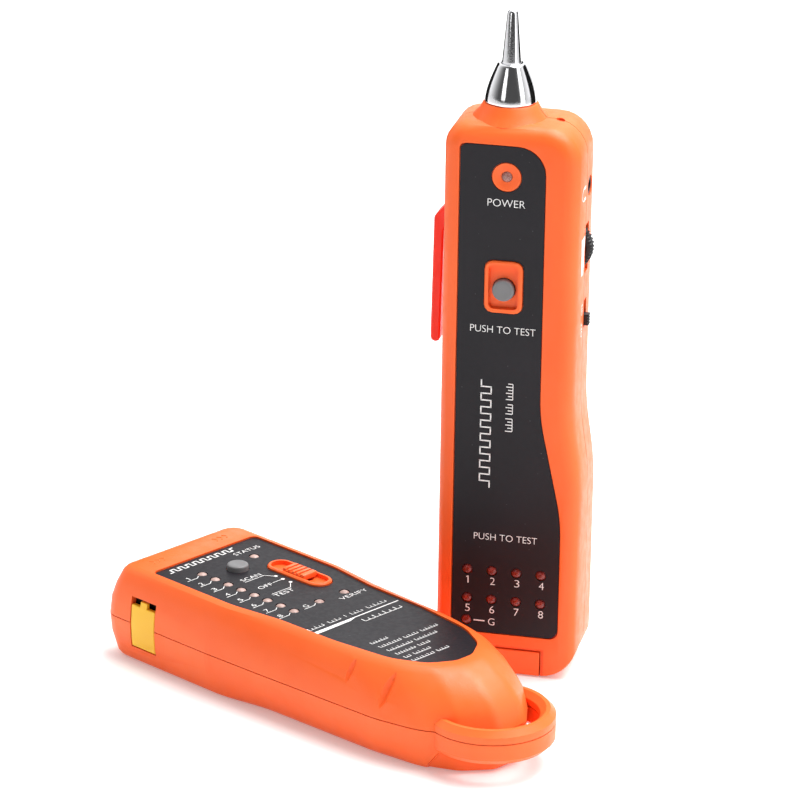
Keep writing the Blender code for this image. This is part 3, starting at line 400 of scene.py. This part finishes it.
def stands_for(obj, node):
    """obj takes the place of a CAD node and moves with that node's body."""
    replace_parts(obj, node)
    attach(obj, NODES[node]["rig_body"])


def mesh_of(work, name):
    bmesh.ops.recalc_face_normals(work, faces=work.faces)
    mesh = bpy.data.meshes.new(name)
    work.to_mesh(mesh)
    work.free()
    return mesh


def revolved(name, profile, place, segments=48, teeth=0.0):
    """A turned closed form; profile is (radius, height) from axis to axis, teeth a knurl depth."""
    work = bmesh.new()
    rings = []
    for radius, height, *knurled in profile:
        if radius == 0:
            rings.append([work.verts.new(place @ Vector((0, 0, height)))])
            continue
        ring = []
        for step in range(segments):
            angle = 2 * math.pi * step / segments
            reach = radius - (teeth if knurled and step % 4 in (2, 3) else 0.0)
            point = Vector((reach * math.cos(angle), reach * math.sin(angle), height))
            ring.append(work.verts.new(place @ point))
        rings.append(ring)
    for lower, upper in zip(rings, rings[1:]):
        for step in range(segments):
            after = (step + 1) % segments
            if len(lower) == 1:
                work.faces.new((lower[0], upper[step], upper[after]))
            elif len(upper) == 1:
                work.faces.new((lower[step], lower[after], upper[0]))
            else:
                work.faces.new((lower[step], lower[after], upper[after], upper[step]))
    mesh = mesh_of(work, name)
    smooth(mesh)
    return mesh


def prism(work, outline, place, low, high):
    """Adds a flat outline made thick between two heights."""
    bottom = [work.verts.new(place @ Vector((x, y, low))) for x, y in outline]
    top = [work.verts.new(place @ Vector((x, y, high))) for x, y in outline]
    count = len(outline)
    for index in range(count):
        after = (index + 1) % count
        work.faces.new((bottom[index], bottom[after], top[after], top[index]))
    work.faces.new(list(reversed(bottom)))
    work.faces.new(top)


def disc(x, y, radius, segments=24):
    return [
        (
            x + radius * math.cos(2 * math.pi * step / segments),
            y + radius * math.sin(2 * math.pi * step / segments),
        )
        for step in range(segments)
    ]


def bar(x0, y0, x1, y1, width):
    """A straight stroke between two points."""
    run = Vector((x1 - x0, y1 - y0)).normalized() * width / 2
    side = Vector((-run.y, run.x))
    return [
        (x0 - side.x, y0 - side.y),
        (x1 - side.x, y1 - side.y),
        (x1 + side.x, y1 + side.y),
        (x0 + side.x, y0 + side.y),
    ]


def facing(origin, right, up):
    """A frame on a face: X to the right of the print, Y up it, Z out of the face."""
    out = right.cross(up)
    matrix = Matrix.Identity(4)
    for column, axis in enumerate((right, up, out)):
        for row in range(3):
            matrix[row][column] = axis[row]
    matrix.translation = origin
    return matrix


INK_LOW = 0.01
INK_HIGH = 0.035
INK_THINNING = 0.012


def lettered(work, text, place, middle, width, height):
    """Adds a generic label, fitted to a width and a height round its middle."""
    curve = bpy.data.curves.new("label", "FONT")
    curve.body = text
    curve.extrude = 0.5
    curve.offset = -INK_THINNING
    curve.resolution_u = 4
    holder = bpy.data.objects.new("label", curve)
    bpy.context.scene.collection.objects.link(holder)
    bpy.context.view_layer.update()
    mesh = bpy.data.meshes.new_from_object(
        holder.evaluated_get(bpy.context.evaluated_depsgraph_get())
    )
    bpy.data.objects.remove(holder)
    points = [v.co.copy() for v in mesh.vertices]
    low = [min(p[axis] for p in points) for axis in range(3)]
    high = [max(p[axis] for p in points) for axis in range(3)]
    sizes = (width, height, INK_HIGH - INK_LOW)
    start = (middle[0] - width / 2, middle[1] - height / 2, INK_LOW)
    for vertex, point in zip(mesh.vertices, points):
        spot = [
            start[axis] + (point[axis] - low[axis]) / (high[axis] - low[axis]) * sizes[axis]
            for axis in range(3)
        ]
        vertex.co = place @ Vector(spot)
    work.from_mesh(mesh)
    bpy.data.meshes.remove(mesh)


def numeral(work, number, place, middle, width, height):
    """Adds a digit; the font's 1 is a bare bar, so that one is drawn with its flag."""
    if number != 1:
        lettered(work, str(number), place, middle, width, height)
        return
    x, low, high = middle[0], middle[1] - height / 2, middle[1] + height / 2
    flag_tip = (x - height * 0.24, high - height * 0.2)
    flag_root = (x, high - height * 0.06)
    trace(work, place, height * 0.15, (x, low), (x, high))
    trace(work, place, height * 0.12, flag_tip, flag_root)


def stroke(work, outline, place):
    prism(work, outline, place, INK_LOW, INK_HIGH)


def trace(work, place, width, *points):
    """A line of strokes through the points."""
    for start, end in zip(points, points[1:]):
        stroke(work, bar(*start, *end, width), place)


def pulse_train(work, place, start, length, height, pulses, width):
    """A square wave drawn in ink, in place of a title."""
    pitch = length / pulses
    half = pitch / 2
    low, high = start[1] - height / 2, start[1] + height / 2
    for index in range(pulses):
        x = start[0] + pitch * index
        stroke(work, bar(x, low, x + half, low, width), place)
        stroke(work, bar(x + half, low - width / 2, x + half, high + width / 2, width), place)
        stroke(work, bar(x + half, high, x + pitch, high, width), place)
        if index + 1 < pulses:
            stroke(work, bar(x + pitch, low - width / 2, x + pitch, high + width / 2, width), place)


def ticks(work, place, start, counts, height, pitch, width=0.24):
    """Groups of short scale ticks on a thin base line, in place of a line of small print."""
    x = start[0]
    low, high = start[1] - height / 2, start[1] + height / 2
    for count in counts:
        for index in range(count):
            reach = high if index % 2 == 0 else start[1] + height * 0.2
            spot = x + pitch * index
            stroke(work, bar(spot, low, spot, reach, width), place)
        stroke(work, bar(x, low, x + pitch * (count - 1), low, width * 0.8), place)
        x += pitch * (count + 0.6)


# Pieces that replace CAD nodes.

LED_RADIUS = 1.7
LED_DOME = 1.1
LED_FLANGE = 1.9
LED_FLANGE_HEIGHT = 0.9
LED_CHAMFER = 0.12
LED_SEGMENTS = 32
BUTTON_RADIUS = 3.5
BUTTON_ROLL = 0.7
BUTTON_FLANGE = 0.9
BUTTON_FLANGE_HEIGHT = 0.7
FERRULE_RISE = 12.2
FERRULE_MOUTH_RADIUS = 4.45
FERRULE_SWELL = 3.75
FERRULE_BEND = 1.36
FERRULE_SPIGOT_RADIUS = 4.2
FERRULE_BAND_RADIUS = 8.15
ROD_SOCKET_RADIUS = 3.35
ROD_SOCKET_DEPTH = 9.0
ROD_RADIUS = 3.05
SCREW_HEAD_RADIUS = 2.5
SCREW_HEAD_HEIGHT = 1.6
SCREW_SHANK_RADIUS = 1.25
CROSS_REACH = 1.45
CROSS_WIDTH = 0.7
CROSS_DEPTH = 0.85
WHEEL_RADIUS = 8.0
WHEEL_FACE_RADIUS = 5.6
WHEEL_LIP_RADIUS = 6.1
WHEEL_FACE_DEPTH = 0.35
WHEEL_SEGMENTS = 160
TOOTH_DEPTH = 0.45
TOWARDS_FRONT = RECEIVER @ Matrix.Rotation(math.pi / 2, 4, "X")


def seat_on(node, upright):
    """The frame at the foot of a turned part, with Z along it, and its length in millimetres."""
    low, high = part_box(node)
    middle = (low + high) / 2
    if upright:
        place, length = EMITTER.copy(), (high.z - low.z) / MM
        place.translation = (middle.x, middle.y, low.z)
    else:
        place, length = TOWARDS_FRONT.copy(), (high.y - low.y) / MM
        place.translation = (middle.x, high.y, middle.z)
    return place, length


def turned_in_place(node, upright, shape, material, segments=48, **extra):
    place, length = seat_on(node, upright)
    mesh = revolved(node + "_form", shape(length), place, segments, **extra)
    stands_for(linked(node + "_piece", mesh, material), node)


def lamp_shape(length):
    """Flange, barrel and a dome that is a little flattened at its crown."""
    profile = [(0, 0), (LED_FLANGE - 0.1, 0), (LED_FLANGE, LED_CHAMFER)]
    profile += [(LED_FLANGE, LED_FLANGE_HEIGHT - LED_CHAMFER)]
    profile += [(LED_FLANGE - LED_CHAMFER, LED_FLANGE_HEIGHT), (LED_RADIUS, LED_FLANGE_HEIGHT)]
    shoulder = length - LED_DOME
    steps = 9
    for step in range(steps):
        angle = math.pi / 2 * step / steps
        profile.append((LED_RADIUS * math.cos(angle), shoulder + LED_DOME * math.sin(angle)))
    profile.append((0, length))
    return profile


def button_shape(length):
    """A cap with a rolled rim and a faint dish, on a flange behind the wall."""
    rim, skirt = BUTTON_RADIUS, BUTTON_RADIUS + BUTTON_FLANGE
    core, shoulder = rim - BUTTON_ROLL, length - 0.05 - BUTTON_ROLL
    profile = [(0, 0), (skirt, 0), (skirt, BUTTON_FLANGE_HEIGHT), (rim, BUTTON_FLANGE_HEIGHT)]
    steps = 6
    for step in range(steps + 1):
        angle = math.pi / 2 * step / steps
        profile.append(
            (core + BUTTON_ROLL * math.cos(angle), shoulder + BUTTON_ROLL * math.sin(angle))
        )
    profile += [(rim - 1.1, length - 0.02), (1.6, length - 0.1), (0, length - 0.12)]
    return profile


def ferrule_shape(length):
    """The bell: a socket for the rod, a lip, the ogive and a fine turned band at its base."""
    base = length - FERRULE_RISE
    floor_of_socket = length - ROD_SOCKET_DEPTH
    profile = [(0, floor_of_socket), (ROD_SOCKET_RADIUS, floor_of_socket)]
    profile += [(ROD_SOCKET_RADIUS, length - 0.2), (3.55, length), (3.95, length)]
    profile += [(4.1, length - 0.06)]
    steps = 24
    for step in range(steps + 1):
        part = step / steps
        swell = FERRULE_SWELL * math.sin(part * FERRULE_BEND) / math.sin(FERRULE_BEND)
        drop = (FERRULE_RISE - 0.45) * part
        profile.append((FERRULE_MOUTH_RADIUS + swell, length - 0.3 - drop))
    profile += [(FERRULE_BAND_RADIUS, base), (FERRULE_SPIGOT_RADIUS, base)]
    profile += [(FERRULE_SPIGOT_RADIUS, 0), (0, 0)]
    return profile


def tip_shape(length):
    """The rod: tapered, with a soft shoulder and a small flat at its end."""
    crown = [(0, 0), (0.55, 0.01), (0.95, 0.1), (1.25, 0.28), (1.5, 0.6), (1.63, 0.95), (1.75, 1.4)]
    profile = [(radius, length - drop) for radius, drop in crown]
    profile += [(ROD_RADIUS - 0.03, 9.3), (ROD_RADIUS, 9.15), (ROD_RADIUS, 0.15)]
    profile += [(ROD_RADIUS - 0.15, 0), (0, 0)]
    return list(reversed(profile))


def screw_shape(length):
    """A pan head at the foot of the frame, and its shank."""
    head, foot = SCREW_HEAD_RADIUS, SCREW_HEAD_HEIGHT
    profile = [(0, 0), (head - 1.0, 0), (head - 0.4, 0.08), (head - 0.1, 0.3), (head, 0.65)]
    profile += [(head, foot - 0.05), (head - 0.05, foot), (SCREW_SHANK_RADIUS, foot)]
    return profile + [(SCREW_SHANK_RADIUS, length - 0.7), (0, length)]


def cross_recess(node, upright):
    """Cuts the driver's cross into the head of a screw."""
    place, _ = seat_on(node, upright)
    obj = bpy.data.objects[node + "_piece"]
    work = bmesh.new()
    for x, y in ((CROSS_REACH, 0), (0, CROSS_REACH)):
        prism(work, bar(-x, -y, x, y, CROSS_WIDTH), place, -0.3, CROSS_DEPTH)
    cutter = linked(node + "_cross", mesh_of(work, node + "_cross"), STEEL)
    modifier = obj.modifiers.new("cross", "BOOLEAN")
    modifier.object = cutter
    modifier.solver = "EXACT"
    modifier.use_self = True
    bpy.context.view_layer.update()
    depsgraph = bpy.context.evaluated_depsgraph_get()
    carved = bpy.data.meshes.new_from_object(obj.evaluated_get(depsgraph))
    obj.modifiers.clear()
    obj.data = carved
    smooth(carved)
    bpy.data.objects.remove(cutter)


def wheel_shape(length):
    """A thumb wheel: bevelled sides, a recessed face each side and a knurled rim."""
    rim, face, lip, dip = WHEEL_RADIUS, WHEEL_FACE_RADIUS, WHEEL_LIP_RADIUS, WHEEL_FACE_DEPTH
    return [
        (0, dip), (face, dip), (lip, 0), (rim - 0.7, 0), (rim - 0.15, 0.35, True),
        (rim, 0.6, True), (rim, length - 0.6, True), (rim - 0.15, length - 0.35, True),
        (rim - 0.7, length), (lip, length), (face, length - dip), (0, length - dip),
    ]


for name in NODES:
    if name.startswith("pair_led") or name == "power_led":
        turned_in_place(name, False, lamp_shape, finish_of(name), LED_SEGMENTS)
    elif name.endswith("_led") or name.startswith("wire_led"):
        turned_in_place(name, True, lamp_shape, finish_of(name), LED_SEGMENTS)
    elif "_screw_" in name:
        lies_flat = name.startswith("emitter")
        turned_in_place(name, lies_flat, screw_shape, STEEL)
        cross_recess(name, lies_flat)
turned_in_place("test_button", False, button_shape, GREY_RUBBER)
turned_in_place("scan_button", True, button_shape, GREY_RUBBER)
turned_in_place("probe_ferrule", True, ferrule_shape, CHROME, 96)
turned_in_place("probe_tip", True, tip_shape, CHROME, 64)
turned_in_place("volume_wheel", False, wheel_shape, BLACK, WHEEL_SEGMENTS, teeth=TOOTH_DEPTH)


# Carried-over CAD shapes, with their edges softened.

BEVEL_ABOVE = math.radians(40)
SOFT_EDGES = {
    "side_clip": 0.5,
    "receiver_battery_door": 0.25,
    "receiver_port_cover": 0.25,
    "emitter_battery_door": 0.25,
    "jack_dust_cover": 0.35,
    "mode_switch_slider": 0.22,
    "power_switch_slider": 0.2,
    "receiver_rj45_jack": 0.2,
    "emitter_rj45_jack": 0.2,
    "power_switch_body": 0.3,
    "mode_switch_body": 0.3,
    "test_button_switch": 0.3,
    "scan_button_switch": 0.3,
    "volume_potentiometer": 0.3,
}

replaced = {node for obj in bpy.data.objects for node in obj.get("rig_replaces", [])}
for name, node in NODES.items():
    if name in replaced:
        continue
    piece = clean_copy(name)
    if name in SOFT_EDGES:
        bevel = piece.modifiers.new("soft_edges", "BEVEL")
        bevel.width = SOFT_EDGES[name] * MM
        bevel.segments = 3
        bevel.limit_method = "ANGLE"
        bevel.angle_limit = BEVEL_ABOVE
        bevel.harden_normals = True
    stands_for(piece, name)


# Print.

RECEIVER_PANEL_Y = (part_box("receiver_faceplate")[0].y - PROBE_AXIS.y) / MM
EMITTER_PANEL_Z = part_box("emitter_faceplate")[1].z / MM
RECEIVER_SIDE_X = 24.9
RIGHT = Vector((1, 0, 0))
BACK = Vector((0, 1, 0))
UP = Vector((0, 0, 1))
FINE_LINE = 0.22
TITLE_LINE = 0.42

# Each label is its text, its middle on the face it is printed on, its width and its height.
RECEIVER_LABELS = (
    ("POWER", (2.2, 159.5), 12.0, 2.4),
    ("PUSH TO TEST", (2.0, 117.6), 21.0, 2.3),
    ("PUSH TO TEST", (4.4, 47.2), 20.6, 2.2),
    ("G", (0.4, 17.8), 2.1, 2.4),
)
SIDE_LABELS = (
    ("ON", (122.4, 2.6), 3.4, 2.0),
    ("OFF", (115.8, 2.6), 4.8, 2.0),
)
EMITTER_LABELS = (
    ("G", (-6.0, -41.9), 1.8, 1.9),
    ("STATUS", (12.8, 4.4), 11.0, 1.9),
    ("VERIFY", (11.8, -45.6), 11.8, 1.9),
    ("SCAN", (-2.2, -13.0), 8.2, 1.9),
    ("OFF", (-3.8, -21.3), 6.0, 1.9),
    ("TEST", (-3.2, -29.3), 8.2, 1.9),
)

# The receiver's pair lamps and the emitter's wire lamps, at their pitches.
PAIR_PITCH = 8.0
PAIR_LEFT = -7.5
PAIR_ROWS = (31.9, 22.0)
WIRE_PITCH = 6.0
GROUND_U = 42.0
HEADPHONE_Z = 161.2
HEADPHONE_Y = 4.4


def labelled(work, place, labels):
    for text, middle, width, height in labels:
        lettered(work, text, place, middle, width, height)


def headphones(work, place):
    """A headband drawn as an arc, with a pad at each end."""
    z, y = HEADPHONE_Z, HEADPHONE_Y
    steps = 12
    angles = [math.pi * (-0.12 + 1.24 * step / steps) for step in range(steps + 1)]
    band = [(z + 2.1 * math.cos(angle), y + 2.6 * math.sin(angle)) for angle in angles]
    trace(work, place, 0.45, *band)
    for ear in (-1, 1):
        trace(work, place, 1.0, (z + 1.9 * ear, y - 2.8), (z + 1.9 * ear, y - 0.4))


def receiver_print():
    """Digits, generic control labels and marks on the panel and the right side."""
    work = bmesh.new()
    panel = Vector((0, RECEIVER_PANEL_Y, 0))
    side_face = Vector((RECEIVER_SIDE_X, 0, 0))
    front = RECEIVER @ facing(panel, RIGHT, UP)
    upwards = RECEIVER @ facing(panel, UP, -RIGHT)
    side = RECEIVER @ facing(side_face, BACK, UP)
    side_up = RECEIVER @ facing(side_face, UP, -BACK)

    labelled(work, front, RECEIVER_LABELS)
    for digit in range(8):
        spot = (PAIR_LEFT + PAIR_PITCH * (digit % 4), PAIR_ROWS[digit // 4])
        numeral(work, digit + 1, front, spot, 1.6, 2.5)
    trace(work, front, 0.4, (-5.4, 17.9), (-1.8, 17.9))
    pulse_train(work, upwards, (64.0, 2.9), 36.5, 3.2, 8, TITLE_LINE)
    ticks(work, upwards, (83.8, -4.6), (5, 4, 6), 2.2, 1.05, 0.3)

    volume_wedge = [(-0.6, 146.6), (-2.6, 134.4), (-5.4, 134.4), (-6.2, 146.6)]
    stroke(work, volume_wedge, side)
    headphones(work, side_up)
    labelled(work, side_up, SIDE_LABELS)
    obj = linked("receiver_print", mesh_of(work, "receiver_print"), INK)
    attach(obj, NODES["receiver_faceplate"]["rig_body"])


def lamp_leader(work, place, start, end, u):
    """The line under a lamp's name, which turns up towards the lamp."""
    low, high = -u - 1.5, -u - 0.4
    trace(work, place, FINE_LINE, (start, low), (end, low), (end + 1.4, high))


def switch_leaders(work, place):
    """The lines from the three names to the mode switch, and the dot at the end of each."""
    trace(work, place, FINE_LINE, (-6.4, -14.7), (2.2, -14.7), (4.2, -17.7))
    trace(work, place, FINE_LINE, (-0.2, -21.0), (4.2, -21.0))
    trace(work, place, FINE_LINE, (-7.0, -27.6), (1.4, -27.6), (4.2, -24.6))
    for u in (17.7, 21.0, 24.5):
        stroke(work, disc(4.4, -u, 0.62), place)


def emitter_print():
    """Digits with leader lines, labels and marks; X is across, Y towards the far end."""
    work = bmesh.new()
    top = EMITTER @ facing(Vector((0, 0, EMITTER_PANEL_Z)), BACK, -RIGHT)
    for digit in range(8):
        u = WIRE_PITCH * digit
        numeral(work, digit + 1, top, (-17.4, -u + 0.1), 1.5, 1.9)
        lamp_leader(work, top, -19.2, -14.9, u)
    lamp_leader(work, top, -8.2, -3.6, GROUND_U)
    labelled(work, top, EMITTER_LABELS)
    switch_leaders(work, top)
    pulse_train(work, top, (-18.6, 8.2), 29.6, 2.1, 9, TITLE_LINE)
    tapered_rule = [(-19.0, -60.4), (-4.0, -60.2), (-1.5, -59.3), (18.4, -59.3)]
    stroke(work, tapered_rule + [(18.4, -58.8), (-19.0, -58.8)], top)
    ticks(work, top, (-19.0, -56.2), (5, 4, 1, 4, 6), 1.5, 1.6)
    ticks(work, top, (-0.9, -62.6), (8,), 2.0, 2.35, 0.34)
    for u, counts in (
        (77.2, (7,)),
        (80.9, (9, 6, 7)),
        (84.6, (10, 9)),
        (88.2, (8, 5)),
        (91.8, (3, 7)),
        (95.2, (9, 5)),
    ):
        ticks(work, top, (-12.4, -u), counts, 1.3, 1.15)
    obj = linked("emitter_print", mesh_of(work, "emitter_print"), INK)
    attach(obj, NODES["emitter_faceplate"]["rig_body"])


def far_band_marks():
    """Two sets of three faint raised chevrons on the band behind the emitter's panel."""
    work = bmesh.new()
    low, high = EMITTER_PANEL_Z + 0.45, EMITTER_PANEL_Z + 0.62
    far, peak, near = -18.6, -17.3, -16.0
    for v in (-14.0, 14.0):
        for tip in (v - 2.2, v, v + 2.2):
            prism(work, bar(far, tip - 1.2, peak, tip, 0.4), EMITTER, low, high)
            prism(work, bar(peak, tip, near, tip - 1.2, 0.4), EMITTER, low, high)
    obj = linked("far_band_marks", mesh_of(work, "far_band_marks"), ORANGE)
    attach(obj, NODES["emitter_top_shell"]["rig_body"])


receiver_print()
emitter_print()
far_band_marks()


# Studio.

# The camera was solved from the outlines of the two instruments.
CAMERA_AZIMUTH = math.radians(12.704)
CAMERA_ELEVATION = math.radians(20.472)
CAMERA_ROLL = math.radians(0.868)
CAMERA_DISTANCE = 1.5
CAMERA_LENS = 212.3
CAMERA_SENSOR = 36
AIM = RECEIVER @ Vector((-30.88, -13.93, 90.81))
WORLD_STRENGTH = 0.8
WORLD_FRONT = 0.1
WORLD_BACK = 1.6
FALL_START = -0.75
FALL_END = 0.5
FLOOR_GLOW = 0.22
FLOOR_RADIUS = 9.0
LIGHT_TARGET = Vector((0, 0, 0.06))
FLAG_HALF_WIDTH = 0.17
FLAG_HALF_HEIGHT = 0.22


def camera():
    data = bpy.data.cameras.new("camera")
    data.lens = CAMERA_LENS
    data.sensor_width = CAMERA_SENSOR
    data.clip_start = 0.05
    data.clip_end = 50
    obj = bpy.data.objects.new("camera", data)
    bpy.context.scene.collection.objects.link(obj)
    back = Vector(
        (
            math.sin(CAMERA_AZIMUTH) * math.cos(CAMERA_ELEVATION),
            -math.cos(CAMERA_AZIMUTH) * math.cos(CAMERA_ELEVATION),
            math.sin(CAMERA_ELEVATION),
        )
    )
    right = Vector((math.cos(CAMERA_AZIMUTH), math.sin(CAMERA_AZIMUTH), 0))
    up = back.cross(right)
    cosine, sine = math.cos(CAMERA_ROLL), math.sin(CAMERA_ROLL)
    rolled_right = right * cosine + up * sine
    rolled_up = up * cosine - right * sine
    obj.matrix_world = facing(AIM + back * CAMERA_DISTANCE, rolled_right, rolled_up)
    bpy.context.scene.camera = obj


def softbox(name, place, size, power):
    data = bpy.data.lights.new(name, "AREA")
    data.shape = "RECTANGLE"
    data.size, data.size_y = size
    data.energy = power
    obj = bpy.data.objects.new(name, data)
    bpy.context.scene.collection.objects.link(obj)
    obj.location = place
    obj.rotation_mode = "QUATERNION"
    obj.rotation_quaternion = (LIGHT_TARGET - Vector(place)).to_track_quat("-Z", "Y")


def floor():
    mesh = bpy.data.meshes.new("floor")
    rim = [(x, y, 0) for x, y in disc(0, 0, FLOOR_RADIUS, 64)]
    mesh.from_pydata(rim, [], [list(range(len(rim)))])
    obj = bpy.data.objects.new("floor", mesh)
    bpy.context.scene.collection.objects.link(obj)
    s = Shader("floor_paper", roughness=0.7, Specular_IOR_Level=0.1)
    s.link(s.ramp(s.noise(6, 2), (0.3, (0.8, 0.8, 0.8)), (0.7, (0.83, 0.83, 0.83))), "Base Color")
    s.set("Emission Color", (1.0, 1.0, 1.0, 1.0))
    s.set("Emission Strength", FLOOR_GLOW)
    mesh.materials.append(s.material)


def flag(name, place):
    """A black card that only the gloss sees, so that bright metal gets its dark edges."""
    across = Vector((-place.y, place.x, 0)).normalized() * FLAG_HALF_WIDTH
    up = Vector((0, 0, FLAG_HALF_HEIGHT))
    corners = [place - across - up, place + across - up, place + across + up, place - across + up]
    mesh = bpy.data.meshes.new(name)
    mesh.from_pydata(corners, [], [(0, 1, 2, 3)])
    s = Shader(name, roughness=1.0, Specular_IOR_Level=0.0)
    s.set("Base Color", (0.01, 0.01, 0.01, 1.0))
    obj = linked(name, mesh, s.material)
    obj.visible_camera = False
    obj.visible_diffuse = False
    obj.visible_shadow = False
    obj.visible_transmission = False


def surroundings():
    """A bright studio behind and above the object that falls off towards the camera."""
    world = bpy.data.worlds.new("studio")
    bpy.context.scene.world = world
    world.use_nodes = True
    tree = world.node_tree
    background = next(n for n in tree.nodes if n.type == "BACKGROUND")
    background.inputs["Strength"].default_value = WORLD_STRENGTH
    direction = tree.nodes.new("ShaderNodeTexCoord").outputs["Generated"]
    axes = tree.nodes.new("ShaderNodeSeparateXYZ")
    tree.links.new(direction, axes.inputs["Vector"])
    fall = tree.nodes.new("ShaderNodeMapRange")
    fall.interpolation_type = "SMOOTHSTEP"
    for socket, value in (
        ("From Min", FALL_START),
        ("From Max", FALL_END),
        ("To Min", WORLD_FRONT),
        ("To Max", WORLD_BACK),
    ):
        fall.inputs[socket].default_value = value
    tree.links.new(axes.outputs["Y"], fall.inputs["Value"])
    tree.links.new(fall.outputs["Result"], background.inputs["Color"])


camera()
floor()
surroundings()
bpy.context.scene.view_settings.view_transform = "Standard"
softbox("overhead", (0.35, 0.25, 1.1), (1.0, 0.8), 24)
softbox("right_strip", (0.9, -0.35, 0.45), (0.35, 0.8), 1.4)
softbox("front_fill", (-0.5, -1.2, 0.6), (0.4, 0.7), 1.8)
flag("left_flag", Vector((-0.3, 0.33, 0.22)))
flag("right_flag", Vector((0.39, 0.33, 0.22)))
